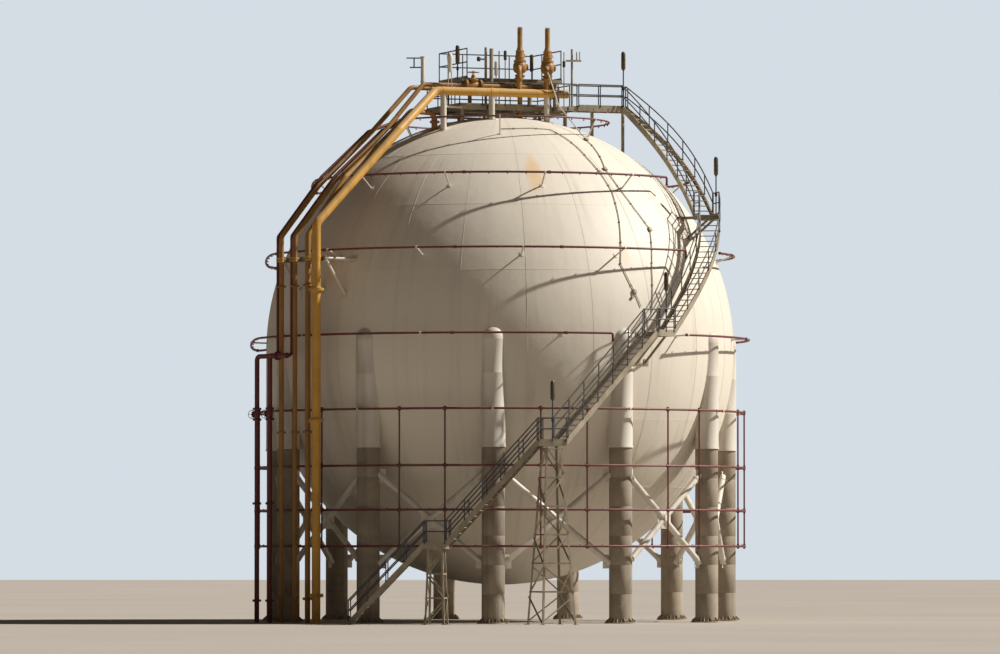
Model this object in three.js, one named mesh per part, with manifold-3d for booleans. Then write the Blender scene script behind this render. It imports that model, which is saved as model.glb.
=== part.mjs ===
// Spherical gas tank on eleven legs, with its stair, top decks, spray water pipes and gas pipes.
// Millimetres, +Z up. Azimuths are in degrees from the front (-Y) and grow towards +X.
import * as THREE from "three";
import { mergeVertices } from "three/addons/utils/BufferGeometryUtils.js";
import { ConvexGeometry } from "three/addons/geometries/ConvexGeometry.js";
import Module from "manifold-3d";

const wasm = await Module();
wasm.setup();

// Driving dimensions
const seat = 0.3; // clearance where one piece touches another
const planMiddle = { x: 16, y: -1992 }; // middle of the whole plan, from the tank's axis
const shell = {
  radius: 10800,
  wall: 40,
  centreHeight: 12500,
  facets: 36,
  band: 9,
  manwayRadius: 320,
  manwayHeight: 11000,
  flangeRadius: 420,
  flangeThickness: 80,
  neckFacets: 8,
};
const courses = [
  { name: "shell_bottom_crown", from: -90, to: -54 },
  { name: "shell_low_course", from: -54, to: -36 },
  { name: "shell_lower_course", from: -36, to: -18 },
  { name: "shell_equator_course", from: -18, to: 18 },
  { name: "shell_upper_course", from: 18, to: 36 },
  { name: "shell_high_course", from: 36, to: 54 },
  { name: "shell_top_crown", from: 54, to: 90 },
];
const legs = {
  count: 11,
  firstAzimuth: -1.65,
  circleRadius: 10476,
  columnRadius: 550,
  sleeveRadius: 520,
  sleeveTop: 7930,
  domeStart: 12780,
  plateRadius: 720,
  plateThickness: 60,
  facets: 8,
};
const bracing = { tubeRadius: 170, high: 7100, low: 2300, sides: 4 };
const spray = {
  tubeRadius: 65,
  sides: 4,
  stubSides: 3,
  stubSink: 100,
  facetsPerBay: 3,
  stubRadius: 45,
  crown: { radius: 5050, height: 23050, drop: 0, stubs: { count: 6, first: 0 } },
  cageRadius: 11286,
  cageHeights: [9606, 7070, 5090, 3460],
  dropperRadius: 45,
  elbowDrop: 350,
  dip: { from: -72, to: -128 },
};
const rings = [
  {
    name: "spray_ring_upper",
    radius: 8700,
    height: 20290,
    drop: 400,
    openFrom: 61,
    openTo: 92,
    stubs: { count: 12, first: 13.5 },
  },
  {
    name: "spray_ring_middle",
    radius: 10820,
    height: 16830,
    drop: 400,
    openFrom: 51,
    openTo: 68,
    stubs: { count: 14, first: 5.5 },
  },
  {
    name: "spray_ring_equator",
    radius: 11500,
    height: 12975,
    drop: 400,
    openFrom: 26,
    openTo: 47,
    stubs: { count: 11, first: 14.71 },
  },
];
const bank = {
  azimuth: -54,
  distance: 11772,
  kneeHeight: 17470,
  bendSteps: 2,
  bendRadius: 400,
  sides: 8,
  smallSides: 6,
  slope: [
    { distance: 9720, height: 19860 },
    { distance: 6760, height: 22450 },
  ],
  nozzleDrop: 2400,
  bracketHeight: 16410,
  bracketFrom: -1250,
  bracketTo: 2450,
  bracketBack: 11380,
  bracketFront: 11530,
  bracketDepth: 220,
  padHalf: 80,
  armOffsets: [-1100, 800, 2300],
  armRadius: 70,
  armReach: 9720,
  lowArmReach: 10368,
  armDrop: 1500,
};
const smallLines = [
  {
    name: "yellow_line_2",
    offset: 1485,
    radius: 125,
    lift: 290,
    shoulder: { x: -4777, y: -4400, z: 22500 },
    crest: { x: -4070, y: -3920, z: 23350 },
    nozzle: { x: -3000, y: -2350 },
  },
  { name: "yellow_line_3", offset: 456, radius: 105, lift: 0 },
  { name: "yellow_line_4", offset: -626, radius: 110, lift: 0, topReach: 4600, topHeight: 24550, nozzleReach: 2700 },
];
const relief = {
  radius: 195,
  level: 24330,
  offset: 2164,
  kneeHeight: 17976,
  shoulder: { x: -4580, y: -5250, z: 22400 },
  bendRadius: 450,
};
const water = {
  headerDistance: 12100,
  headerHeight: 12068,
  headerRadius: 110,
  supplyOffsets: [-2113, -1077],
  riserOffsets: [-904, 199],
  riserRadius: 75,
  bendRadius: 200,
  slope: [
    { distance: 9396, height: 20276 },
    { distance: 6804, height: 22436 },
  ],
};
const top = {
  heading: 21.5,
  headerAcross: -1804,
  headerFrom: -3900,
  headerTo: 2630,
  postAlong: [-3496, -1117, 1611],
  postRadius: 110,
};
const besideHeader = {
  name: "yellow_line_3",
  from: -4420,
  to: 2000,
  across: -1565,
  height: 24620,
  postRadius: 70,
  postTop: 25900,
  armRadius: 30,
  arms: [
    { height: 25830, reach: 750 },
    { height: 25400, reach: 600 },
  ],
};
const topDeck = {
  from: -2592,
  to: 3024,
  front: -1460,
  back: 2808,
  apronFrom: 2000,
  apronFront: -2160,
  apronLap: 60,
  level: 23740,
  depth: 200,
  rail: 1070,
  inset: 40,
  tieLap: 100,
  tieRadius: 60,
  legInset: 260,
  legRadius: 90,
  legReach: 2400,
  holeClearance: 30,
};
const valveDeck = { from: -2000, to: 2750, front: -870, back: 2780, level: 25050, depth: 150, rail: 1380 };
const walkway = {
  across: -1728,
  end: 5510,
  depth: 200,
  leaving: -12,
  opening: 520,
  postShares: [0.35, 0.97],
  postRadius: 75,
  postReach: 3000,
};
const valve = {
  across: -1264,
  along: [490, 1860],
  inletRadius: 110,
  flangeRadius: 240,
  flangeHeight: 25150,
  bodyHeight: 25260,
  bodyRadius: 320,
  bonnetHeight: 25870,
  bonnetRadius: 210,
  capHeight: 26500,
  capRadius: 115,
  tipHeight: 27460,
  outletHeight: 25520,
  outletRadius: 120,
  outletShift: -260,
  sink: 400,
  sides: 8,
};
const stair = {
  width: 900,
  plate: 20,
  below: 180,
  above: 150,
  tread: 40,
  nosing: 40,
  rise: 245,
  landing: 1000,
  landingDepth: 200,
  straight: 0.01,
  curveSegments: 3,
  thirdStruts: { spread: 230, reach: 1900, outset: 300, drop: 1700, radius: 70 },
  fourthStruts: { spread: 300, reach: 1500, outset: 300, drop: 1500, radius: 70 },
};
const lamp = {
  radius: 100,
  height: 880,
  sides: 6,
  poleRadius: 30,
  poleSides: 4,
  low: 1800,
  deckLow: 700,
  across: 380,
  setBackShare: 0.05,
};
const rail = {
  height: 1070,
  size: 48,
  postSize: 44,
  kneeShare: 0.55,
  spacing: 2600,
  endShare: 0.012,
  seatDepth: 15,
};
const stairPoints = {
  foot: { x: -6700, y: -12640, level: 0 },
  first: { x: -2810, y: -12960, level: 3540, arriving: -4.7, leaving: -12 },
  second: { x: 2270, y: -14040, level: 8070, arriving: -12, leaving: 41.63 },
  third: { x: 7130, y: -9720, level: 13040, arriving: 41.63, leaving: 47 },
  fourth: { x: 9460, y: -4250, level: 18550, arriving: 97, leaving: 108 },
};
const tower = {
  legHalf: 45,
  braceRadius: 36,
  braceSides: 3,
  sides: 4,
  endShare: 0.1,
  first: { topAlong: 350, topAcross: 380, baseAlong: 450, baseAcross: 600, bays: 3, levels: [0.4, 0.96] },
  second: {
    topAlong: 350,
    topAcross: 380,
    baseAlong: 775,
    baseAcross: 1300,
    bays: 6,
    levels: [0.25, 0.5, 0.75, 0.98],
  },
};

// Paints and metals
const paint = (color, roughness, metalness = 0) =>
  new THREE.MeshStandardMaterial({ color, roughness, metalness });
const shellWhite = paint(0xe9e0cf, 0.55);
const legWhite = paint(0xe4dccb, 0.6);
const sprayMaroon = paint(0x5a1d20, 0.55);
const pipeYellow = paint(0xc98a1e, 0.5);
const valveYellow = paint(0xb9812a, 0.5);
const stairGrey = paint(0xa39c8e, 0.6, 0.4);

// Small helpers for points and solids
const radians = (degrees) => (degrees * Math.PI) / 180;
const at = (x, y, z) => new THREE.Vector3(x, y, z);
const around = (azimuth, radius, height) =>
  at(radius * Math.sin(radians(azimuth)), -radius * Math.cos(radians(azimuth)), height);

// The joined solid of a closed geometry, with its poles' empty triangles left out
function solidOf(geometry) {
  const bare = geometry.clone();
  bare.deleteAttribute("normal");
  bare.deleteAttribute("uv");
  const merged = mergeVertices(bare);
  const corners = merged.index.array;
  const kept = [];
  for (let i = 0; i < corners.length; i += 3) {
    const [a, b, c] = corners.slice(i, i + 3);
    if (a !== b && b !== c && c !== a) kept.push(a, b, c);
  }
  const vertProperties = new Float32Array(merged.attributes.position.array);
  const triVerts = new Uint32Array(kept);
  return new wasm.Manifold(new wasm.Mesh({ numProp: 3, vertProperties, triVerts }));
}

const fuse = (geometries) => geometries.map(solidOf).reduce((whole, next) => whole.add(next));

function geometryOf(solid) {
  const mesh = solid.getMesh();
  const geometry = new THREE.BufferGeometry();
  geometry.setAttribute("position", new THREE.BufferAttribute(mesh.vertProperties, 3));
  geometry.setIndex(new THREE.BufferAttribute(mesh.triVerts, 1));
  geometry.computeVertexNormals();
  return geometry;
}

const tank = new THREE.Group();

function place(name, solid, material) {
  const mesh = new THREE.Mesh(geometryOf(solid), material);
  mesh.name = name;
  tank.add(mesh);
}

// A turned solid: the profile holds [radius, height] pairs, and its facets start at the front
function turned(profile, facets) {
  const points = profile.map(([radius, height]) => new THREE.Vector2(radius, height));
  return new THREE.LatheGeometry(points, facets).rotateX(Math.PI / 2);
}

// A straight bar between two points
function bar(from, to, radius, sides) {
  const geometry = new THREE.CylinderGeometry(radius, radius, from.distanceTo(to), sides);
  const direction = to.clone().sub(from).normalize();
  geometry.applyQuaternion(new THREE.Quaternion().setFromUnitVectors(at(0, 1, 0), direction));
  const middle = from.clone().add(to).multiplyScalar(0.5);
  return geometry.translate(middle.x, middle.y, middle.z);
}

// A path whose sections stand at the stations it is given
class StationPath extends THREE.Curve {
  constructor(stations) {
    super();
    this.stations = stations;
  }
  getPointAt(u, target = new THREE.Vector3()) {
    return target.copy(this.stations[Math.round(u * (this.stations.length - 1))]);
  }
  getTangentAt(u, target = new THREE.Vector3()) {
    const last = this.stations.length - 1;
    const here = Math.round(u * last);
    const before = this.stations[Math.max(here - 1, 0)];
    const after = this.stations[Math.min(here + 1, last)];
    const point = this.stations[here];
    target.set(0, 0, 0);
    if (here > 0) target.add(point.clone().sub(before).normalize());
    if (here < last) target.add(after.clone().sub(point).normalize());
    return target.normalize();
  }
}

function tube(stations, radius, sides) {
  const section = new THREE.Shape();
  for (let i = 0; i < sides; i += 1) {
    const turn = (2 * Math.PI * i) / sides;
    const corner = [radius * Math.cos(turn), radius * Math.sin(turn)];
    if (i === 0) section.moveTo(...corner);
    else section.lineTo(...corner);
  }
  section.closePath();
  const extrudePath = new StationPath(stations);
  const steps = stations.length - 1;
  return new THREE.ExtrudeGeometry(section, { steps, extrudePath, bevelEnabled: false });
}

// Corner points with each inner corner rounded to a bend
function rounded(corners, bendRadius, bendSteps) {
  const stations = [corners[0]];
  for (let i = 1; i < corners.length - 1; i += 1) {
    const corner = corners[i];
    const back = corners[i - 1].clone().sub(corner);
    const ahead = corners[i + 1].clone().sub(corner);
    const turn = Math.PI - back.angleTo(ahead);
    const reach = bendRadius * Math.tan(turn / 2);
    const start = corner.clone().add(back.setLength(reach));
    const end = corner.clone().add(ahead.setLength(reach));
    const bend = new THREE.QuadraticBezierCurve3(start, corner, end);
    stations.push(...bend.getPoints(bendSteps));
  }
  stations.push(corners[corners.length - 1]);
  return stations;
}

// The outside of the faceted ball, grown by a clearance: cuts whatever would reach into the shell
function ball(growth) {
  const steps = 180 / shell.band;
  const profile = [];
  for (let i = 0; i <= steps; i += 1) {
    const latitude = radians(-90 + shell.band * i);
    const radius = i === 0 || i === steps ? 0 : (shell.radius + growth) * Math.cos(latitude);
    profile.push([radius, shell.centreHeight + (shell.radius + growth) * Math.sin(latitude)]);
  }
  return solidOf(turned(profile, shell.facets));
}
const shellCutter = ball(seat);

// Shell courses
function arcPoints(radius, from, to) {
  const points = [];
  for (let degrees = from; degrees <= to; degrees += shell.band) {
    const latitude = radians(degrees);
    const atPole = Math.abs(degrees) === 90;
    points.push([atPole ? 0 : radius * Math.cos(latitude), shell.centreHeight + radius * Math.sin(latitude)]);
  }
  return points;
}

for (const course of courses) {
  const outer = arcPoints(shell.radius, course.from, course.to);
  const inner = arcPoints(shell.radius - shell.wall, course.from, course.to);
  const lowest = course.from === -90;
  const highest = course.to === 90;
  for (const points of [outer, inner]) {
    if (!lowest) points[0][1] += seat;
  }
  const profile = [...outer, ...inner.reverse()];
  profile.push(outer[0]);
  let solid = solidOf(turned(profile, shell.facets));
  if (highest) {
    const neck = turned(
      [
        [0, shell.centreHeight + shell.radius - shell.wall / 2],
        [shell.manwayRadius, shell.centreHeight + shell.radius - shell.wall / 2],
        [shell.manwayRadius, shell.centreHeight + shell.manwayHeight - shell.flangeThickness],
        [shell.flangeRadius, shell.centreHeight + shell.manwayHeight - shell.flangeThickness],
        [shell.flangeRadius, shell.centreHeight + shell.manwayHeight],
        [0, shell.centreHeight + shell.manwayHeight],
      ],
      shell.neckFacets,
    );
    solid = solid.add(solidOf(neck));
  }
  place(course.name, solid, shellWhite);
}

// Legs, each cut back by the ball it carries
const bayAngle = 360 / legs.count;
const legAzimuth = (index) => legs.firstAzimuth + bayAngle * index;

function legProfile(growth) {
  const dome = legs.columnRadius + growth;
  const sleeve = legs.sleeveRadius + growth;
  const rimAngle = radians(45);
  return [
    [0, 0],
    [legs.plateRadius + growth, 0],
    [legs.plateRadius + growth, legs.plateThickness + growth],
    [sleeve, legs.plateThickness + growth],
    [sleeve, legs.sleeveTop - growth],
    [dome, legs.sleeveTop - growth],
    [dome, legs.domeStart],
    [dome * Math.cos(rimAngle), legs.domeStart + dome * Math.sin(rimAngle)],
    [0, legs.domeStart + dome],
  ];
}

function legSolid(index, growth) {
  const column = turned(legProfile(growth), legs.facets).rotateZ(radians(legAzimuth(index)));
  const foot = around(legAzimuth(index), legs.circleRadius, 0);
  return solidOf(column.translate(foot.x, foot.y, 0));
}

const legCutters = [];
for (let i = 0; i < legs.count; i += 1) {
  place(`leg_${String(i + 1).padStart(2, "0")}`, legSolid(i, 0).subtract(shellCutter), legWhite);
  legCutters.push(legSolid(i, seat));
}
const allLegs = legCutters.reduce((whole, next) => whole.add(next));

// Crossed bracing, one X in each bay
for (let i = 0; i < legs.count; i += 1) {
  const next = (i + 1) % legs.count;
  const here = legAzimuth(i);
  const there = legAzimuth(i + 1);
  const falling = bar(
    around(here, legs.circleRadius, bracing.high),
    around(there, legs.circleRadius, bracing.low),
    bracing.tubeRadius,
    bracing.sides,
  );
  const rising = bar(
    around(here, legs.circleRadius, bracing.low),
    around(there, legs.circleRadius, bracing.high),
    bracing.tubeRadius,
    bracing.sides,
  );
  const cross = fuse([falling, rising]).subtract(legCutters[i]).subtract(legCutters[next]);
  place(`brace_${String(i + 1).padStart(2, "0")}`, cross, legWhite);
}

// Spray rings that follow the ball, held by stubs that stand on the shell
function stub(azimuth, radius, height) {
  const middle = at(0, 0, shell.centreHeight);
  const outside = around(azimuth, radius, height);
  const reach = outside.distanceTo(middle) - shell.radius + spray.stubSink;
  const inside = outside.clone().add(middle.sub(outside).setLength(reach));
  return bar(outside, inside, spray.stubRadius, spray.stubSides);
}

// The height of a ring at an azimuth: it dips at the left
function ringHeight({ height, drop }, azimuth) {
  const { from, to } = spray.dip;
  const share = (azimuth - from) / (to - from);
  return share > 0 && share < 1 ? height - drop * Math.sin(Math.PI * share) ** 2 : height;
}

// Stubs evenly round a ring, without those in its open stretch
function stubs(ring) {
  const pieces = [];
  for (let i = 0; i < ring.stubs.count; i += 1) {
    const turn = (ring.stubs.first + (360 * i) / ring.stubs.count) % 360;
    const azimuth = turn > 180 ? turn - 360 : turn;
    if (azimuth > ring.openFrom && azimuth < ring.openTo) continue;
    pieces.push(stub(azimuth, ring.radius, ringHeight(ring, azimuth)));
  }
  return pieces;
}

// Each ring stops on both sides of the stair, with an elbow down at its front end
function sprayRing(ring) {
  const { openFrom, radius } = ring;
  const sweep = openFrom - (ring.openTo - 360);
  const steps = Math.round(sweep / (bayAngle / spray.facetsPerBay));
  const stations = [around(openFrom, radius, ring.height - spray.elbowDrop)];
  for (let i = 0; i <= steps; i += 1) {
    const azimuth = openFrom - (sweep * i) / steps;
    stations.push(around(azimuth, radius, ringHeight(ring, azimuth)));
  }
  const pieces = [tube(stations, spray.tubeRadius, spray.sides), ...stubs(ring)];
  place(ring.name, fuse(pieces).subtract(shellCutter), sprayMaroon);
}
rings.forEach(sprayRing);

// Lower spray cage: four rings outside the legs, with droppers between them
function sprayCage() {
  const facets = legs.count * spray.facetsPerBay;
  const pieces = [];
  for (const height of spray.cageHeights) {
    const ring = new THREE.TorusGeometry(spray.cageRadius, spray.tubeRadius, spray.sides, facets);
    pieces.push(ring.rotateZ(radians(legs.firstAzimuth - 90)).translate(0, 0, height));
  }
  const [highest] = spray.cageHeights;
  const lowest = spray.cageHeights.at(-1);
  for (let i = 0; i < legs.count; i += 1) {
    const outer = around(legAzimuth(i), spray.cageRadius, highest);
    const inner = around(legAzimuth(i), legs.circleRadius, highest);
    pieces.push(bar(outer, inner, spray.stubRadius, spray.stubSides));
    for (const share of [1 / 3, 2 / 3]) {
      const azimuth = legAzimuth(i) + bayAngle * share;
      const head = around(azimuth, spray.cageRadius, highest);
      const foot = around(azimuth, spray.cageRadius, lowest);
      pieces.push(bar(head, foot, spray.dropperRadius, spray.stubSides));
    }
  }
  place("spray_cage_lower", fuse(pieces).subtract(allLegs), sprayMaroon);
}
sprayCage();

// The pipe bank: a row of upright pipes at the left, set out by their offset along the row
const bankOut = around(bank.azimuth, 1, 0);
const bankAlong = at(-bankOut.y, bankOut.x, 0);
const inBank = (offset, distance, height) =>
  at(0, 0, height).addScaledVector(bankOut, distance).addScaledVector(bankAlong, offset);

// Places above the crown, set out along the relief header and across it
const topAlong = at(Math.cos(radians(top.heading)), Math.sin(radians(top.heading)), 0);
const topAcross = at(-topAlong.y, topAlong.x, 0);
const onTop = (along, across, height) =>
  at(0, 0, height).addScaledVector(topAlong, along).addScaledVector(topAcross, across);

// One line runs along the back of the relief header, the others drop to their nozzles
function lineEnd(line) {
  if (line.name === besideHeader.name) {
    const { from, to, across, height } = besideHeader;
    return [onTop(from, across, height), onTop(to, across, height)];
  }
  if (line.nozzle) {
    const { shoulder, crest, nozzle } = line;
    const above = at(nozzle.x, nozzle.y, crest.z);
    const sunk = above.clone().setZ(crest.z - bank.nozzleDrop);
    return [at(shoulder.x, shoulder.y, shoulder.z), at(crest.x, crest.y, crest.z), above, sunk];
  }
  return [
    inBank(line.offset, line.topReach, line.topHeight),
    inBank(line.offset, line.nozzleReach, line.topHeight),
    inBank(line.offset, line.nozzleReach, line.topHeight - bank.nozzleDrop),
  ];
}

function smallLine(line, growth) {
  const slope = line.shoulder ? bank.slope.slice(0, 1) : bank.slope;
  const corners = [
    inBank(line.offset, bank.distance, 0),
    inBank(line.offset, bank.distance, bank.kneeHeight),
    ...slope.map(({ distance, height }) => inBank(line.offset, distance, height + line.lift)),
    ...lineEnd(line),
  ];
  const stations = rounded(corners, bank.bendRadius, bank.bendSteps);
  return solidOf(tube(stations, line.radius + growth, bank.smallSides));
}

// Post with two arms on the bend of the line beside the header
function ventPost() {
  const { from, across, height, postRadius, postTop, arms, armRadius } = besideHeader;
  const foot = onTop(from, across, height);
  const pieces = [bar(foot, foot.clone().setZ(postTop), postRadius, bank.sides)];
  for (const arm of arms) {
    const root = foot.clone().setZ(arm.height);
    pieces.push(bar(root, root.clone().setX(root.x - arm.reach), armRadius, bank.smallSides));
  }
  return fuse(pieces);
}

// The relief line climbs from the bank to the header above the top deck
function reliefSolid(growth) {
  const corners = [
    inBank(relief.offset, bank.distance, 0),
    inBank(relief.offset, bank.distance, relief.kneeHeight),
    at(relief.shoulder.x, relief.shoulder.y, relief.shoulder.z),
    onTop(top.headerFrom, top.headerAcross, relief.level),
    onTop(top.headerTo, top.headerAcross, relief.level),
  ];
  const stations = rounded(corners, relief.bendRadius, bank.bendSteps);
  return solidOf(tube(stations, relief.radius + growth, bank.sides));
}

function reliefOutlet(along, growth) {
  const { across, outletHeight, outletShift, outletRadius } = valve;
  const corners = [
    onTop(along, across, outletHeight),
    onTop(along + outletShift, top.headerAcross, outletHeight),
    onTop(along + outletShift, top.headerAcross, relief.level),
  ];
  const stations = rounded(corners, outletRadius * 2, bank.bendSteps);
  return solidOf(tube(stations, outletRadius + growth, bank.sides));
}

for (const line of smallLines) {
  const pipe = smallLine(line, 0).subtract(shellCutter);
  place(line.name, line.name === besideHeader.name ? pipe.add(ventPost()) : pipe, pipeYellow);
}
place("relief_header", reliefSolid(0), pipeYellow);

// Relief valves, each on its own inlet pipe from the top crown
function valveSolid(along) {
  const foot = shell.centreHeight + shell.radius - valve.sink;
  const profile = [
    [0, foot],
    [valve.inletRadius, foot],
    [valve.inletRadius, valve.flangeHeight],
    [valve.flangeRadius, valve.flangeHeight],
    [valve.bodyRadius, valve.bodyHeight],
    [valve.bodyRadius, valve.bonnetHeight],
    [valve.bonnetRadius, valve.bonnetHeight],
    [valve.bonnetRadius, valve.capHeight - valve.capRadius],
    [valve.capRadius, valve.capHeight],
    [valve.capRadius, valve.tipHeight],
    [0, valve.tipHeight],
  ];
  const spot = onTop(along, valve.across, 0);
  const body = solidOf(turned(profile, valve.sides).translate(spot.x, spot.y, 0));
  return body.add(reliefOutlet(along, 0)).subtract(reliefSolid(seat)).subtract(shellCutter);
}
valve.along.forEach((along, index) => place(`relief_valve_${index + 1}`, valveSolid(along), valveYellow));

// Water risers beside the pipe bank, their header and supply pipes, and the ring on the top crown
function waterRiser(offset, growth) {
  const crown = spray.crown;
  const corners = [
    inBank(offset, water.headerDistance, water.headerHeight),
    inBank(offset, bank.distance, water.headerHeight),
    inBank(offset, bank.distance, bank.kneeHeight),
    inBank(offset, water.slope[0].distance, water.slope[0].height),
    inBank(offset, water.slope[1].distance, water.slope[1].height),
    inBank(offset, Math.sqrt(crown.radius ** 2 - offset ** 2), crown.height),
  ];
  const stations = rounded(corners, water.bendRadius, bank.bendSteps);
  return solidOf(tube(stations, water.riserRadius + growth, spray.sides));
}

function waterRisers() {
  const crown = spray.crown;
  const ring = new THREE.TorusGeometry(crown.radius, spray.stubRadius, spray.sides, legs.count * 2);
  const pieces = [ring.translate(0, 0, crown.height), ...stubs(crown)];
  const headerEnds = [water.supplyOffsets[0], water.riserOffsets[1]];
  const [start, end] = headerEnds.map((offset) => inBank(offset, water.headerDistance, water.headerHeight));
  pieces.push(bar(start, end, water.headerRadius, bank.sides));
  for (const offset of water.supplyOffsets) {
    const head = inBank(offset, water.headerDistance, water.headerHeight + water.headerRadius);
    pieces.push(bar(head, head.clone().setZ(0), water.headerRadius, bank.sides));
  }
  const whole = water.riserOffsets.reduce((solid, offset) => solid.add(waterRiser(offset, 0)), fuse(pieces));
  place("spray_risers", whole.subtract(shellCutter), sprayMaroon);
}
waterRisers();

// The bracket that holds the pipe bank off the shell
function bankBox(fromOffset, toOffset, fromDistance, toDistance, height, depth) {
  const box = new THREE.BoxGeometry(toOffset - fromOffset, toDistance - fromDistance, depth);
  const spot = inBank((fromOffset + toOffset) / 2, (fromDistance + toDistance) / 2, height);
  const turn = Math.atan2(bankAlong.y, bankAlong.x);
  return box.rotateZ(turn).translate(spot.x, spot.y, spot.z);
}

function bankBracket() {
  const { bracketHeight: height, bracketBack: back, bracketFront: front, padHalf: half } = bank;
  const pieces = [bankBox(bank.bracketFrom, bank.bracketTo, back, front, height, bank.bracketDepth)];
  const offsets = [...smallLines.map((line) => line.offset), ...water.riserOffsets, relief.offset];
  for (const offset of offsets) {
    pieces.push(bankBox(offset - half, offset + half, front - half, bank.distance, height, half));
  }
  for (const offset of bank.armOffsets) {
    const outer = inBank(offset, (back + front) / 2, height);
    pieces.push(bar(outer, inBank(offset, bank.armReach, height), bank.armRadius, spray.sides));
    const low = inBank(offset, bank.lowArmReach, height - bank.armDrop);
    pieces.push(bar(outer, low, bank.armRadius, spray.sides));
  }
  let solid = fuse(pieces).subtract(shellCutter);
  for (const line of smallLines) solid = solid.subtract(smallLine(line, seat));
  for (const offset of water.riserOffsets) solid = solid.subtract(waterRiser(offset, seat));
  place("pipe_bank_bracket", solid.subtract(reliefSolid(seat)), stairGrey);
}
bankBracket();

// Stations along a walking line, each with its heading and the level direction across it
const headingVector = (degrees) => at(Math.cos(radians(degrees)), Math.sin(radians(degrees)), 0);
const station = (point, heading) => ({ point, heading, side: at(-heading.y, heading.x, 0) });

// A plate or rail that follows the stations at an offset, between two heights over the walking line
function ribbon(stations, offset, thickness, low, high) {
  const sections = stations.map(({ point, side }) =>
    [-0.5, 0.5].flatMap((edge) =>
      [low, high].map((height) => {
        const corner = point.clone().addScaledVector(side, offset + edge * thickness);
        return corner.setZ(Math.max(point.z + height, 0));
      }),
    ),
  );
  return sections.slice(1).map((section, i) => new ConvexGeometry([...sections[i], ...section]));
}

function uprightBox(length, width, height, centre, heading) {
  const box = new THREE.BoxGeometry(length, width, height);
  return box.rotateZ(Math.atan2(heading.y, heading.x)).translate(centre.x, centre.y, centre.z);
}

function railPost({ point, heading, side }, offset, low, high) {
  const centre = point.clone().addScaledVector(side, offset);
  centre.z += (low + high) / 2;
  return uprightBox(rail.postSize, rail.postSize, high - low, centre, heading);
}

// Top rail, knee rail and posts on one side of the walking line
function handrail(stations, posts, offset, low, high) {
  const pieces = ribbon(stations, offset, rail.size, high - rail.size, high);
  const knee = high * rail.kneeShare;
  pieces.push(...ribbon(stations, offset, rail.size, knee - rail.size, knee));
  for (const post of posts) pieces.push(railPost(post, offset, low, high - rail.size / 2));
  return pieces;
}

const evenShares = (count) => Array.from({ length: count + 1 }, (_, i) => i / count);
const sideOffset = (stair.width + stair.plate) / 2;

// One flight: two side plates, its treads, and a handrail on each side
function flight(name, from, to, segments) {
  const crossing = meetingPoint(from, to);
  const corners = [from.point, crossing, to.point].map(({ x, y }) => new THREE.Vector2(x, y));
  const curve = new THREE.QuadraticBezierCurve(...corners);
  const stationAt = (share) => {
    const plan = curve.getPointAt(share);
    const heading = curve.getTangentAt(share);
    const level = THREE.MathUtils.lerp(from.point.z, to.point.z, share);
    return station(at(plan.x, plan.y, level), at(heading.x, heading.y, 0));
  };
  const line = evenShares(segments).map(stationAt);
  const spans = segments * Math.ceil(curve.getLength() / segments / rail.spacing);
  const posts = evenShares(spans).map((share) =>
    stationAt(THREE.MathUtils.lerp(rail.endShare, 1 - rail.endShare, share)),
  );
  const pieces = [];
  for (const offset of [-sideOffset, sideOffset]) {
    pieces.push(...ribbon(line, offset, stair.plate, -stair.below, stair.above));
    pieces.push(...handrail(line, posts, offset, stair.above - rail.seatDepth, rail.height));
  }
  const risers = Math.round((to.point.z - from.point.z) / stair.rise);
  const depth = curve.getLength() / risers + stair.nosing;
  for (const share of evenShares(risers).slice(1, -1)) {
    const { point, heading } = stationAt(share);
    const centre = point.clone();
    centre.z -= stair.tread / 2;
    pieces.push(uprightBox(depth, sideOffset * 2, stair.tread, centre, heading));
  }
  place(name, fuse(pieces), stairGrey);
}

// Where the line that leaves one station meets the line that arrives at the next, in plan
function meetingPoint(from, to) {
  const across = from.heading.x * to.heading.y - from.heading.y * to.heading.x;
  const gap = to.point.clone().sub(from.point);
  if (Math.abs(across) < stair.straight) return from.point.clone().add(to.point).multiplyScalar(0.5);
  const reach = (gap.x * to.heading.y - gap.y * to.heading.x) / across;
  return from.point.clone().addScaledVector(from.heading, reach);
}

function deckPlate(corners, level, depth) {
  const outline = new THREE.Shape(corners.map(({ x, y }) => new THREE.Vector2(x, y)));
  return new THREE.ExtrudeGeometry(outline, { depth, bevelEnabled: false }).translate(0, 0, level - depth);
}

// A landing between the flight that arrives and the one that leaves, with a rail on both sides
function landingPieces(arrive, leave, depth, height) {
  const reach = stair.width / 2 + stair.plate;
  const corners = [
    arrive.point.clone().addScaledVector(arrive.side, reach),
    leave.point.clone().addScaledVector(leave.side, reach),
    leave.point.clone().addScaledVector(leave.side, -reach),
    arrive.point.clone().addScaledVector(arrive.side, -reach),
  ];
  const pieces = [deckPlate(corners, arrive.point.z, depth)];
  const inset = rail.size / 2;
  const posts = [
    station(arrive.point.clone().addScaledVector(arrive.heading, inset), arrive.heading),
    station(leave.point.clone().addScaledVector(leave.heading, -inset), leave.heading),
  ];
  for (const offset of [-sideOffset, sideOffset]) {
    pieces.push(...handrail([arrive, leave], posts, offset, -rail.seatDepth, height));
  }
  return pieces;
}

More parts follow.
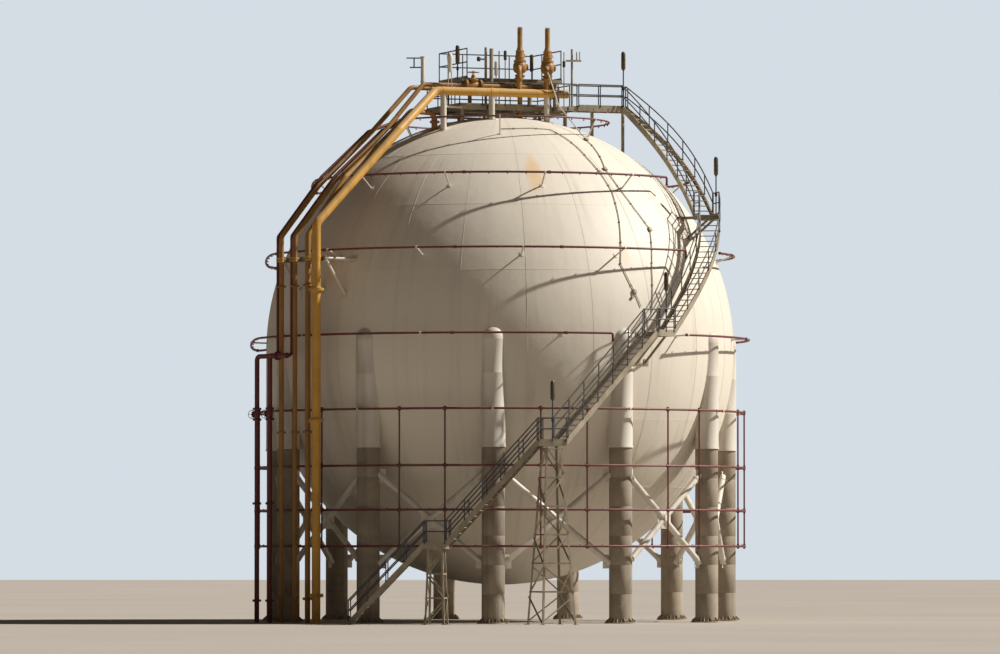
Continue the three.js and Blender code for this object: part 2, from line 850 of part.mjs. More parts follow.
// A lattice tower under a landing: four splayed legs, zigzags on two faces and level bars on the others
function towerSolid({ centre, middle }, size) {
  const heading = middle;
  const side = at(-heading.y, heading.x, 0);
  const head = centre.z - stair.landingDepth - seat;
  const leg = (along, across, share) => {
    const spread = (half, base) => THREE.MathUtils.lerp(base, half, share);
    const height = head * share;
    return at(centre.x, centre.y, height)
      .addScaledVector(heading, along * spread(size.topAlong, size.baseAlong))
      .addScaledVector(side, across * spread(size.topAcross, size.baseAcross));
  };
  const square = (spot) =>
    [-1, 1].flatMap((x) => [-1, 1].map((y) => spot.clone().add(at(x * tower.legHalf, y * tower.legHalf, 0))));
  const pieces = [];
  for (const along of [-1, 1]) {
    for (const across of [-1, 1]) {
      pieces.push(new ConvexGeometry([...square(leg(along, across, 0)), ...square(leg(along, across, 1))]));
    }
    for (let bay = 0; bay < size.bays; bay += 1) {
      const turn = bay % 2 === 0 ? 1 : -1;
      const low = leg(along, -turn, (bay + tower.endShare) / size.bays);
      const high = leg(along, turn, (bay + 1 - tower.endShare) / size.bays);
      pieces.push(bar(low, high, tower.braceRadius, tower.braceSides));
    }
  }
  for (const across of [-1, 1]) {
    for (const share of size.levels) {
      pieces.push(bar(leg(-1, across, share), leg(1, across, share), tower.braceRadius, tower.braceSides));
    }
  }
  return fuse(pieces);
}

// Stations at both edges of a landing
function landingEdges({ x, y, level, arriving, leaving }) {
  const centre = at(x, y, level);
  const half = stair.landing / 2;
  const [inward, outward] = [headingVector(arriving), headingVector(leaving)];
  return {
    centre,
    arrive: station(centre.clone().addScaledVector(inward, -half), inward),
    leave: station(centre.clone().addScaledVector(outward, half), outward),
    middle: inward.clone().add(outward).normalize(),
  };
}

// A lamp on its pole: the pole stands at the foot, and the lamp's lower end is at the given height over it
function lampPieces(foot, low) {
  const base = foot.clone().setZ(foot.z - rail.seatDepth);
  const bottom = foot.clone().setZ(foot.z + low);
  const head = bottom.clone().setZ(bottom.z + lamp.height);
  return [bar(base, bottom, lamp.poleRadius, lamp.poleSides), bar(bottom, head, lamp.radius, lamp.sides)];
}

const outerMiddle = ({ arrive, leave }) =>
  arrive.point
    .clone()
    .addScaledVector(arrive.side, -sideOffset)
    .lerp(leave.point.clone().addScaledVector(leave.side, -sideOffset), 0.5);

const shifted = ({ point, heading }, distance) =>
  station(point.clone().addScaledVector(heading, distance), heading);

const first = landingEdges(stairPoints.first);
const second = landingEdges(stairPoints.second);
const third = landingEdges(stairPoints.third);
const fourth = landingEdges(stairPoints.fourth);
const footHeading = headingVector(stairPoints.first.arriving);
const foot = station(at(stairPoints.foot.x, stairPoints.foot.y, stairPoints.foot.level), footHeading);
const walkStart = station(onTop(topDeck.to + seat, walkway.across, topDeck.level), topAlong);
const walkEnd = station(onTop(walkway.end, walkway.across, topDeck.level), headingVector(walkway.leaving));
const walkArrive = station(walkEnd.point, walkEnd.heading.clone().negate());

flight("stair_flight_1", foot, shifted(first.arrive, -seat), 1);
flight("stair_flight_2", shifted(first.leave, seat), shifted(second.arrive, -seat), 1);
flight("stair_flight_3", shifted(second.leave, seat), shifted(third.arrive, -seat), 1);
flight("stair_flight_4", shifted(third.leave, seat), shifted(fourth.arrive, -seat), stair.curveSegments);
flight("stair_flight_5", shifted(fourth.leave, seat), shifted(walkArrive, -seat), stair.curveSegments);

const landingAt = ({ arrive, leave }) => landingPieces(arrive, leave, stair.landingDepth, rail.height);
place("landing_1", fuse(landingAt(first)), stairGrey);
place("landing_2", fuse([...landingAt(second), ...lampPieces(outerMiddle(second), lamp.low)]), stairGrey);
place("landing_tower_1", towerSolid(first, tower.first), stairGrey);
place("landing_tower_2", towerSolid(second, tower.second), stairGrey);

// The upper landings are held by beams and struts from the shell, and the third by a leg as well
function strutLanding(edges, struts) {
  const pieces = [...landingAt(edges), ...lampPieces(outerMiddle(edges), lamp.low)];
  const level = edges.centre.z - stair.landingDepth / 2;
  const inward = at(-edges.centre.x, -edges.centre.y, 0).normalize();
  const along = at(-inward.y, inward.x, 0);
  for (const offset of [-struts.spread, struts.spread]) {
    const root = edges.centre.clone().setZ(level).addScaledVector(along, offset);
    pieces.push(bar(root, root.clone().addScaledVector(inward, struts.reach), struts.radius, tower.sides));
    const outer = root.clone().addScaledVector(inward, -struts.outset);
    const low = root.clone().addScaledVector(inward, struts.reach).setZ(level - struts.drop);
    pieces.push(bar(outer, low, struts.radius, tower.sides));
  }
  return fuse(pieces).subtract(shellCutter).subtract(allLegs);
}
place("landing_3", strutLanding(third, stair.thirdStruts), stairGrey);
place("landing_4", strutLanding(fourth, stair.fourthStruts), stairGrey);

// Guard rail of a deck: posts, top rail and knee rail along the given corners
function guardRail(corners, level, height) {
  const pieces = [];
  for (let i = 1; i < corners.length; i += 1) {
    const [from, to] = [corners[i - 1], corners[i]].map((corner) => corner.clone().setZ(level));
    const heading = to.clone().sub(from).normalize();
    const spot = (share) => station(from.clone().lerp(to, share), heading);
    const past = rail.size / 2 / from.distanceTo(to);
    const count = Math.ceil(from.distanceTo(to) / rail.spacing);
    const posts = evenShares(count).slice(i === 1 ? 0 : 1).map(spot);
    pieces.push(...handrail([spot(-past), spot(1 + past)], posts, 0, -rail.seatDepth, height));
  }
  return pieces;
}

function deckCorners({ from, to, front, back }, inset) {
  return [
    onTop(from + inset, front + inset, 0),
    onTop(to - inset, front + inset, 0),
    onTop(to - inset, back - inset, 0),
    onTop(from + inset, back - inset, 0),
  ];
}

// Lower top deck with its own legs and the posts that carry the relief header
function buildTopDeck() {
  const { apronFrom, apronFront, apronLap, inset, level } = topDeck;
  const apron = { from: apronFrom, to: topDeck.to, front: apronFront, back: topDeck.front + apronLap };
  const pieces = [deckPlate(deckCorners(topDeck, 0), level, topDeck.depth)];
  pieces.push(deckPlate(deckCorners(apron, 0), level, topDeck.depth));
  const middle = level - topDeck.depth / 2;
  const [frontLeft, , backRight, backLeft] = deckCorners(topDeck, inset);
  const frontEnd = onTop(apronFrom - inset, topDeck.front + inset, 0);
  const walkSide = onTop(topDeck.to - inset, walkway.across + walkway.opening, 0);
  pieces.push(...guardRail([walkSide, backRight, backLeft, frontLeft, frontEnd], level, topDeck.rail));
  pieces.push(...guardRail(deckCorners(apron, inset).slice(0, 2), level, topDeck.rail));
  for (const corner of deckCorners(topDeck, topDeck.legInset)) {
    const head = corner.clone().setZ(middle);
    pieces.push(bar(head, head.clone().setZ(middle - topDeck.legReach), topDeck.legRadius, tower.sides));
  }
  for (const along of top.postAlong) {
    const post = onTop(along, top.headerAcross, relief.level);
    pieces.push(bar(post, post.clone().setZ(middle - topDeck.legReach), top.postRadius, bank.sides));
    const onDeck = Math.max(along, topDeck.from + topDeck.legInset);
    const tie = onTop(onDeck, topDeck.front + topDeck.tieLap, middle);
    pieces.push(bar(post.clone().setZ(middle), tie, topDeck.tieRadius, tower.sides));
  }
  let solid = fuse(pieces).subtract(shellCutter).subtract(reliefSolid(seat));
  for (const along of valve.along) {
    const above = onTop(along, valve.across, topDeck.level + topDeck.depth);
    const below = above.clone().setZ(topDeck.level - topDeck.depth * 2);
    const hole = bar(above, below, valve.inletRadius + topDeck.holeClearance, valve.sides);
    solid = solid.subtract(solidOf(hole));
  }
  place("top_deck", solid, stairGrey);
}
buildTopDeck();

// Valve deck on posts above the lower deck
function buildValveDeck() {
  const pieces = [deckPlate(deckCorners(valveDeck, 0), valveDeck.level, valveDeck.depth)];
  const [frontLeft, frontRight, backRight, backLeft] = deckCorners(valveDeck, topDeck.inset);
  pieces.push(...guardRail([frontLeft, backLeft, backRight, frontRight], valveDeck.level, valveDeck.rail));
  for (const corner of deckCorners(valveDeck, topDeck.legInset)) {
    const head = corner.clone().setZ(valveDeck.level - valveDeck.depth / 2);
    pieces.push(bar(corner.clone().setZ(topDeck.level + seat), head, topDeck.legRadius, tower.sides));
  }
  const lampFoot = onTop(valveDeck.from + topDeck.inset, lamp.across, valveDeck.level);
  pieces.push(...lampPieces(lampFoot, lamp.deckLow));
  place("valve_deck", fuse(pieces), stairGrey);
}
buildValveDeck();

// Walkway from the lower top deck to the head of the stair, on two posts
function buildWalkway() {
  const pieces = landingPieces(walkStart, walkEnd, walkway.depth, rail.height);
  for (const share of walkway.postShares) {
    const head = walkStart.point.clone().lerp(walkEnd.point, share).setZ(topDeck.level - walkway.depth / 2);
    pieces.push(bar(head, head.clone().setZ(head.z - walkway.postReach), walkway.postRadius, spray.sides));
  }
  const leftOf = ({ point, side }) => point.clone().addScaledVector(side, sideOffset);
  const lampFoot = leftOf(walkEnd).lerp(leftOf(walkStart), lamp.setBackShare);
  pieces.push(...lampPieces(lampFoot, lamp.low));
  place("walkway", fuse(pieces).subtract(shellCutter), stairGrey);
}
buildWalkway();

// The origin is the middle of the whole plan at ground level
tank.position.set(-planMiddle.x, -planMiddle.y, 0);

export default tank;
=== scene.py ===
import math

import bpy
from mathutils import Matrix, Vector


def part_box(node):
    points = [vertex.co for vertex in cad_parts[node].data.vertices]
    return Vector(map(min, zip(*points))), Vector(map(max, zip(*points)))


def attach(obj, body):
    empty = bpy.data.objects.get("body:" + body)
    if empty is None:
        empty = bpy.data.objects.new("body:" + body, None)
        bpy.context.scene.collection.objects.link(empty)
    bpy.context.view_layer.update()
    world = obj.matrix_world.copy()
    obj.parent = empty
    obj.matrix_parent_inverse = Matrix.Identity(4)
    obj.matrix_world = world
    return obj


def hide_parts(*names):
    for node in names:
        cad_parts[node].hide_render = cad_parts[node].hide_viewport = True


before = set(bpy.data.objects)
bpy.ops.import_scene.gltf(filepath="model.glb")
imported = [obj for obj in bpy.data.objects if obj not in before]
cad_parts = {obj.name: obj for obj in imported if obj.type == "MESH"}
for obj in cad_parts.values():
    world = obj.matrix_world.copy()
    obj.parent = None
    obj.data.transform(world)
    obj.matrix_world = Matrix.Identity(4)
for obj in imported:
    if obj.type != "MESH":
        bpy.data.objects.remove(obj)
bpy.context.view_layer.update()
upward = Vector((0, 0, 1))


# Places around the tank, with azimuths in degrees from the front (-Y) growing towards +X
equatorLow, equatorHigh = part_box("shell_equator_course")
ballCentre = (equatorLow + equatorHigh) / 2
ballRadius = (equatorHigh.x - equatorLow.x) / 2
axis = Vector((ballCentre.x, ballCentre.y, 0))


def headingOf(degrees):
    turn = math.radians(degrees)
    return Vector((math.cos(turn), math.sin(turn), 0))


def leftOf(heading):
    return Vector((-heading.y, heading.x, 0))


def around(azimuth, radius, height):
    return axis + headingOf(azimuth - 90) * radius + upward * height


def turnedRoundTank(degrees):
    turn = Matrix.Rotation(math.radians(degrees), 4, "Z")
    return Matrix.Translation(axis) @ turn @ Matrix.Translation(-axis)


# Modelling helpers
def deselectAll():
    if bpy.context.mode != "OBJECT":
        bpy.ops.object.mode_set(mode="OBJECT")
    bpy.ops.object.select_all(action="DESELECT")


def only(*things):
    deselectAll()
    for thing in things:
        thing.select_set(True)
    bpy.context.view_layer.objects.active = things[0]
    return things[0]


def editAll(thing):
    only(thing)
    bpy.ops.object.mode_set(mode="EDIT")
    bpy.ops.mesh.select_all(action="SELECT")


# Leaves the thing in edit mode with only the chosen faces selected
def selectFaces(thing, chosen):
    editAll(thing)
    bpy.ops.mesh.select_all(action="DESELECT")
    bpy.ops.object.mode_set(mode="OBJECT")
    for face in thing.data.polygons:
        face.select = chosen(face)
    bpy.ops.object.mode_set(mode="EDIT")


def cleaned(thing, distance=0.0004):
    editAll(thing)
    bpy.ops.mesh.remove_doubles(threshold=distance)
    bpy.ops.mesh.normals_make_consistent(inside=False)
    bpy.ops.object.mode_set(mode="OBJECT")
    return thing


def applied(thing, kind, **settings):
    only(thing)
    modifier = thing.modifiers.new(kind.lower(), kind)
    for key, value in settings.items():
        setattr(modifier, key, value)
    bpy.ops.object.modifier_apply(modifier=modifier.name)
    return thing


def placed(thing, place):
    thing.data.transform(place)
    return thing


def moved(thing, offset):
    return placed(thing, Matrix.Translation(offset))


def copied(template, places):
    copies = []
    for place in places:
        copy = template.copy()
        copy.data = template.data.copy()
        bpy.context.collection.objects.link(copy)
        copies.append(placed(copy, place))
    return copies


def joined(things):
    whole = only(*things)
    if len(things) > 1:
        bpy.ops.object.join()
    bpy.ops.object.transform_apply(location=True, rotation=True, scale=True)
    return whole


def stamped(template, places):
    copies = copied(template, places)
    bpy.data.objects.remove(template)
    return joined(copies)


def facing(point, direction, up=upward):
    forward = Vector(direction).normalized()
    sideways = Vector(up).cross(forward)
    if sideways.length < 0.001:
        sideways = Vector((0, 1, 0)).cross(forward)
    sideways.normalize()
    place = Matrix((sideways, forward.cross(sideways), forward)).transposed().to_4x4()
    place.translation = point
    return place


def aimed(points, direction=upward):
    return [(point, direction) for point in points]


def stampedAt(template, spots):
    return stamped(template, [facing(point, direction) for point, direction in spots])


# Places in a ring round the Z axis, the first one turned by a share of their spacing
def ringPlaces(count, place, first=0.0):
    turns = [2 * math.pi * (index + first) / count for index in range(count)]
    return [Matrix.Rotation(turn, 4, "Z") @ place for turn in turns]


def addSpline(data, run, closed):
    spline = data.splines.new("POLY")
    spline.points.add(len(run) - 1)
    for spot, point in zip(spline.points, run):
        spot.co = (*point, 1)
    spline.use_cyclic_u = closed


def curveObject(name, data):
    thing = bpy.data.objects.new(name, data)
    bpy.context.collection.objects.link(thing)
    return only(thing)


def tubes(runs, radius, sides=8, closed=False):
    data = bpy.data.curves.new("tubes", "CURVE")
    data.dimensions = "3D"
    data.bevel_depth = radius
    data.bevel_resolution = (sides - 4) // 2
    data.use_fill_caps = True
    for run in runs:
        addSpline(data, run, closed)
    thing = curveObject("tubes", data)
    bpy.ops.object.convert(target="MESH")
    return cleaned(thing)


def flatOutline(profile):
    data = bpy.data.curves.new("outline", "CURVE")
    data.dimensions = "2D"
    addSpline(data, [(x, y, 0) for x, y in profile], True)
    return data


def swept(profile, runs):
    outline = curveObject("outline", flatOutline([(-x, y) for x, y in profile]))
    data = bpy.data.curves.new("swept", "CURVE")
    data.dimensions = "3D"
    data.twist_mode = "Z_UP"
    data.bevel_mode = "OBJECT"
    data.bevel_object = outline
    data.use_fill_caps = True
    for run in runs:
        addSpline(data, run, False)
    thing = curveObject("swept", data)
    bpy.ops.object.convert(target="MESH")
    bpy.data.objects.remove(outline)
    return cleaned(thing)


def prism(profile):
    data = flatOutline(profile)
    data.fill_mode = "BOTH"
    data.extrude = 0.5
    thing = curveObject("prism", data)
    bpy.ops.object.convert(target="MESH")
    return cleaned(moved(thing, (0, 0, 0.5)))


def bars(profile, ends, up=upward):
    places = []
    for start, end in ends:
        length = (end - start).length
        places.append(facing(start, end - start, up) @ Matrix.Diagonal((1, 1, length, 1)))
    return stamped(prism(profile), places)


def turned(profile, sides=24):
    data = bpy.data.curves.new("profile", "CURVE")
    data.dimensions = "3D"
    addSpline(data, [(radius, 0, height) for radius, height in profile], False)
    thing = curveObject("turned", data)
    bpy.ops.object.convert(target="MESH")
    editAll(thing)
    bpy.ops.mesh.spin(steps=sides, angle=2 * math.pi, center=(0, 0, 0), axis=(0, 0, 1))
    bpy.ops.mesh.select_all(action="SELECT")
    return cleaned(thing)


def block(size, place, bevel=0.0):
    deselectAll()
    bpy.ops.mesh.primitive_cube_add(size=1)
    thing = bpy.context.object
    placed(thing, place @ Matrix.Diagonal((*size, 1)))
    if bevel:
        applied(thing, "BEVEL", width=bevel, segments=2, limit_method="ANGLE")
    return thing


def cutBy(thing, cutter):
    applied(thing, "BOOLEAN", operation="DIFFERENCE", object=cutter, solver="EXACT")
    return thing


def bisected(thing, point, normal):
    editAll(thing)
    bpy.ops.mesh.bisect(plane_co=point, plane_no=normal, use_fill=True, clear_outer=True)
    bpy.ops.object.mode_set(mode="OBJECT")
    return thing


def rounded(corners, bend, steps=6):
    run = [corners[0]]
    for before, corner, after in zip(corners, corners[1:], corners[2:]):
        back = (before - corner).normalized()
        ahead = (after - corner).normalized()
        turn = math.pi - back.angle(ahead)
        reach = bend * math.tan(turn / 2)
        middle = corner + (back + ahead).normalized() * (bend / math.cos(turn / 2))
        start = corner + back * reach - middle
        end = corner + ahead * reach - middle
        run.extend(middle + start.slerp(end, step / steps) * bend for step in range(steps + 1))
    run.append(corners[-1])
    return run


def rectangle(width, height, low=0.0):
    half = width / 2
    return [(-half, low), (half, low), (half, low + height), (-half, low + height)]


def channelOutline(height, flange, thickness, low=0.0):
    high = low + height
    return [
        (0, low), (flange, low), (flange, low + thickness), (thickness, low + thickness),
        (thickness, high - thickness), (flange, high - thickness), (flange, high), (0, high),
    ]


def angleOutline(leg, thickness):
    return [(0, 0), (leg, 0), (leg, thickness), (thickness, thickness), (thickness, leg), (0, leg)]


def finished(name, parts, finish, *nodes, smooth=35):
    piece = joined(parts)
    piece.name = name
    piece.data.name = name
    bpy.ops.object.shade_smooth_by_angle(angle=math.radians(smooth))
    piece.data.materials.clear()
    piece.data.materials.append(paints[finish])
    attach(piece, "root")
    if nodes:
        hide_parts(*nodes)
    return piece


# Materials
class Finish:
    def __init__(self, name, centre=(0, 0, 0)):
        self.material = bpy.data.materials.new(name)
        self.material.use_nodes = True
        self.tree = self.material.node_tree
        self.shader = self.tree.nodes["Principled BSDF"]
        place = self.add("TexCoord").outputs["Object"]
        self.spot = self.vector("SUBTRACT", place, centre)

    def add(self, kind, settings=None, inputs=None):
        made = self.tree.nodes.new("ShaderNode" + kind)
        for key, value in (settings or {}).items():
            setattr(made, key, value)
        for key, value in (inputs or {}).items():
            self.feed(made.inputs[key], value)
        return made

    def feed(self, socket, value):
        if isinstance(value, bpy.types.NodeSocket):
            self.tree.links.new(value, socket)
        else:
            socket.default_value = value

    def vector(self, operation, first, second):
        return self.add("VectorMath", {"operation": operation}, {0: first, 1: second}).outputs[0]

    def maths(self, operation, first, second=0.0):
        return self.add("Math", {"operation": operation}, {0: first, 1: second}).outputs[0]

    def plus(self, first, second):
        return self.maths("ADD", first, second)

    def times(self, first, second):
        return self.maths("MULTIPLY", first, second)

    def squared(self, value, unit):
        share = self.maths("ABSOLUTE", self.maths("DIVIDE", value, unit))
        return self.maths("POWER", share, 2.0)

    def noise(self, scale, detail=5.0, spot=None, stretch=(1, 1, 1), roughness=0.55):
        place = self.vector("MULTIPLY", spot or self.spot, stretch)
        inputs = {"Vector": place, "Scale": scale, "Detail": detail, "Roughness": roughness}
        return self.add("TexNoise", None, inputs).outputs["Fac"]

    def between(self, value, low, high, start=0.0, end=1.0):
        inputs = {"Value": value, "From Min": low, "From Max": high, "To Min": start, "To Max": end}
        return self.add("MapRange", {"interpolation_type": "SMOOTHSTEP"}, inputs).outputs["Result"]

    def mix(self, share, first, second):
        made = self.add("Mix", {"data_type": "RGBA"})
        self.feed(made.inputs[0], share)
        for socket, colour in ((made.inputs[6], first), (made.inputs[7], second)):
            self.feed(socket, colour if isinstance(colour, bpy.types.NodeSocket) else (*colour, 1))
        return made.outputs[2]

    def bump(self, height, strength, distance):
        inputs = {"Height": height, "Strength": strength, "Distance": distance}
        return self.add("Bump", None, inputs).outputs["Normal"]


# Tone clouds, runs of dirt, rust spots, dust on what faces up, and a fine grain under them
def weathered(name, look, centre=(0, 0, 0)):
    finish = Finish(name, centre)
    tone = [channel * look["tone"] for channel in look["colour"]]
    clouds = finish.between(finish.noise(look["clouds"], 6), 0.35, 0.65)
    colour = finish.mix(clouds, tone, look["colour"])
    runs = finish.noise(look["runs"], 4, stretch=(1, 1, 0.06))
    soiled = finish.between(runs, 0.48, 0.75, 0.0, look["dirtShare"])
    colour = finish.mix(soiled, colour, look["dirt"])
    pits = finish.noise(look["pits"], 8, roughness=0.7)
    rusted = finish.between(pits, look["rustFrom"], look["rustFrom"] + 0.06, 0.0, look["rustShare"])
    colour = finish.mix(rusted, colour, look["rust"])
    leaning = finish.add("SeparateXYZ", None, {0: finish.add("NewGeometry").outputs["Normal"]}).outputs["Z"]
    dusty = finish.between(leaning, 0.3, 0.95, 0.0, look["dustShare"])
    colour = finish.mix(dusty, colour, look["dust"])
    grain = finish.noise(look["grain"], 3)
    rough = finish.between(grain, 0.3, 0.7, look["rough"] - 0.08, look["rough"] + 0.08)
    finish.feed(finish.shader.inputs["Base Color"], colour)
    finish.feed(finish.shader.inputs["Roughness"], rough)
    finish.feed(finish.shader.inputs["Metallic"], look["metal"])
    relief = finish.plus(finish.times(grain, 0.4), finish.times(rusted, 0.6))
    finish.feed(finish.shader.inputs["Normal"], finish.bump(relief, look["bump"], 0.004))
    return finish


paintLook = {
    "colour": (0.72, 0.67, 0.58), "tone": 0.9, "clouds": 0.35, "runs": 2.2, "dirt": (0.3, 0.25, 0.19),
    "dirtShare": 0.4, "pits": 7.0, "rust": (0.26, 0.1, 0.03), "rustFrom": 0.68, "rustShare": 0.55,
    "grain": 60.0, "rough": 0.5, "metal": 0.0, "bump": 0.25, "dust": (0.62, 0.5, 0.35), "dustShare": 0.25,
}
finishes = {
    "leg_paint": {},
    "fireproofing": {
        "colour": (0.36, 0.3, 0.225), "tone": 0.78, "clouds": 0.8, "dirt": (0.15, 0.12, 0.09),
        "dirtShare": 0.7, "pits": 3.0, "rust": (0.5, 0.44, 0.35), "rustFrom": 0.6, "grain": 25.0,
        "rough": 0.85, "bump": 0.8,
    },
    "spray_pipe_maroon": {
        "colour": (0.17, 0.032, 0.034), "tone": 0.75, "dirt": (0.2, 0.12, 0.1), "dirtShare": 0.35,
        "rust": (0.1, 0.035, 0.015),
    },
    "gas_pipe_yellow": {
        "colour": (0.68, 0.36, 0.055), "tone": 0.86, "clouds": 0.9, "dirt": (0.28, 0.15, 0.05),
        "dirtShare": 0.55, "rust": (0.16, 0.06, 0.02), "rustFrom": 0.66, "dustShare": 0.6,
    },
    # Darker copy of the gas pipe yellow for the bank lines: its darkness is painted shade for lines that
    # stand in shade, with dirt runs on top as elsewhere
    "shade_darkened_yellow": {
        "colour": (0.4, 0.2, 0.04), "tone": 0.8, "clouds": 0.9, "dirt": (0.15, 0.075, 0.03),
        "dirtShare": 0.7, "rust": (0.12, 0.045, 0.02), "rustFrom": 0.62, "rough": 0.55, "dustShare": 0.3,
    },
    "valve_paint": {
        "colour": (0.46, 0.24, 0.06), "tone": 0.7, "clouds": 2.5, "dirt": (0.12, 0.06, 0.025),
        "dirtShare": 0.7, "rust": (0.12, 0.045, 0.02), "rustFrom": 0.6,
    },
    "galvanised_steel": {
        "colour": (0.42, 0.36, 0.265), "tone": 0.75, "clouds": 1.5, "dirt": (0.2, 0.135, 0.08),
        "dirtShare": 0.7, "rust": (0.2, 0.085, 0.035), "rustFrom": 0.6, "rough": 0.6, "metal": 0.1,
    },
    "handrail": {
        "colour": (0.085, 0.09, 0.1), "tone": 0.75, "clouds": 1.5, "dirt": (0.12, 0.09, 0.065),
        "dirtShare": 0.5, "rust": (0.12, 0.05, 0.02), "rustFrom": 0.63, "metal": 0.2, "dustShare": 0.15,
    },
    "lamp_housing": {
        "colour": (0.12, 0.095, 0.055), "tone": 0.6, "clouds": 3.0, "dirt": (0.16, 0.12, 0.07),
        "dirtShare": 0.5, "rough": 0.45, "metal": 0.2,
    },
}
paints = {name: weathered(name, {**paintLook, **look}).material for name, look in finishes.items()}


# The ball: plates of slightly different tone, dirt that runs down from the crown, and three rust stains
shellLook = {
    "colour": (0.8, 0.735, 0.625), "dark": (0.74, 0.678, 0.575), "dirt": (0.4, 0.34, 0.27), "plates": 22,
    "seamAzimuth": 6.53, "seamDirt": 0.08, "wideRuns": 0.34, "narrowRuns": 0.24, "stain": (0.8, 0.46, 0.14),
    "stains": [
        {"azimuth": 12.0, "height": 20.3, "wide": 0.6, "high": 0.9, "share": 0.62},
        {"azimuth": 33.9, "height": 16.6, "wide": 0.3, "high": 0.6, "share": 0.3},
        {"azimuth": -48.0, "height": 15.9, "wide": 0.5, "high": 0.8, "share": 0.35},
    ],
}


def shellPaint(look):
    finish = Finish("shell_paint", tuple(ballCentre))
    parts = finish.add("SeparateXYZ", None, {0: finish.spot}).outputs
    azimuth = finish.maths("ARCTAN2", parts["X"], finish.times(parts["Y"], -1.0))
    plate = finish.times(azimuth, look["plates"] / (2 * math.pi))
    plate = finish.maths("SUBTRACT", plate, look["seamAzimuth"] * look["plates"] / 360)
    course = finish.maths("FLOOR", finish.plus(finish.times(parts["Z"], 0.15), 0.5))
    number = finish.add("CombineXYZ", None, {"X": finish.maths("FLOOR", plate), "Y": course}).outputs[0]
    tone = finish.add("TexWhiteNoise", {"noise_dimensions": "3D"}, {"Vector": number}).outputs["Value"]
    clouds = finish.noise(0.22, 6)
    shade = finish.plus(finish.times(tone, 0.3), finish.times(clouds, 0.9))
    colour = finish.mix(finish.between(shade, 0.3, 0.9), look["dark"], look["colour"])
    arc = finish.times(azimuth, ballRadius)
    unrolled = finish.add("CombineXYZ", None, {"X": arc, "Y": parts["Z"], "Z": 0.0}).outputs[0]
    wide = finish.noise(1.1, 4, unrolled, (1, 0.07, 1))
    narrow = finish.noise(5.0, 4, unrolled, (1, 0.04, 1))
    patches = finish.between(finish.noise(0.3, 3), 0.4, 0.62, 0.25, 1.0)
    wideRuns = finish.between(wide, 0.5, 0.74, 0.0, look["wideRuns"])
    narrowRuns = finish.between(narrow, 0.55, 0.75, 0.0, look["narrowRuns"])
    runs = finish.times(finish.plus(wideRuns, narrowRuns), patches)
    colour = finish.mix(runs, colour, look["dirt"])
    seamGap = finish.maths("PINGPONG", finish.plus(plate, 50.0), 0.5)
    seamDirt = finish.between(seamGap, 0.0, 0.06, look["seamDirt"], 0.0)
    colour = finish.mix(seamDirt, colour, look["dirt"])
    ragged = finish.times(finish.maths("SUBTRACT", finish.noise(1.6, 5), 0.5), 1.1)
    for stain in look["stains"]:
        flat = finish.maths("SUBTRACT", arc, math.radians(stain["azimuth"]) * ballRadius)
        rise = finish.maths("SUBTRACT", parts["Z"], stain["height"] - ballCentre.z)
        across, up = finish.squared(flat, stain["wide"]), finish.squared(rise, stain["high"])
        reach = finish.plus(finish.plus(across, up), ragged)
        colour = finish.mix(finish.between(reach, 1.5, -0.3, 0.0, stain["share"]), colour, look["stain"])
    grain = finish.noise(45.0, 3)
    waves = finish.noise(0.9, 3)
    rough = finish.between(grain, 0.3, 0.7, 0.52, 0.66)
    finish.feed(finish.shader.inputs["Base Color"], colour)
    finish.feed(finish.shader.inputs["Roughness"], rough)
    fine = finish.bump(grain, 0.15, 0.002)
    dents = finish.add("Bump", None, {"Height": waves, "Strength": 0.35, "Distance": 0.05, "Normal": fine})
    finish.feed(finish.shader.inputs["Normal"], dents.outputs["Normal"])
    return finish.material


paints["shell_paint"] = shellPaint(shellLook)
print("materials made")


# Shell courses as lower and upper latitude with the count of plates, split between their weld seams
shell = {
    "segments": 144, "bands": 90, "wall": 0.04, "beadRadius": 0.006, "beadSink": 0.003, "beadSteps": 18,
    "courses": {
        "shell_bottom_crown": (-90, -54, 6), "shell_low_course": (-54, -36, 22),
        "shell_lower_course": (-36, -18, 22), "shell_equator_course": (-18, 18, 22),
        "shell_upper_course": (18, 36, 22), "shell_high_course": (36, 54, 22), "shell_top_crown": (54, 90, 6),
    },
    "manwayRadius": 0.32, "flangeRadius": 0.42, "flangeDepth": 0.1, "joint": 0.046, "gasket": 0.01,
    "groove": 0.03, "manwayTop": 11.0, "boltCount": 20, "boltInset": 0.04, "bolt": (0.018, 0.035),
    "fillet": ((0.06, -0.02), (0.02, 0.03), (0, 0.05)), "lidEdge": (0.01, 0.008),
}


def onBall(azimuth, latitude, outward=0.0):
    turn = math.radians(latitude)
    reach = ballRadius + outward
    return around(azimuth, reach * math.cos(turn), ballCentre.z + reach * math.sin(turn))


def ballMesh(radius):
    deselectAll()
    bpy.ops.mesh.primitive_uv_sphere_add(
        segments=shell["segments"], ring_count=shell["bands"], radius=radius, location=ballCentre
    )
    bpy.ops.object.transform_apply(location=True)
    return bpy.context.object


def courseMesh(low, high):
    thing = ballMesh(ballRadius)
    bottom, ceiling = [ballCentre.z + ballRadius * math.sin(math.radians(edge)) for edge in (low, high)]
    selectFaces(thing, lambda face: not bottom < face.center.z < ceiling)
    bpy.ops.mesh.delete(type="FACE")
    bpy.ops.object.mode_set(mode="OBJECT")
    return applied(thing, "SOLIDIFY", thickness=shell["wall"], offset=-1, use_rim=True)


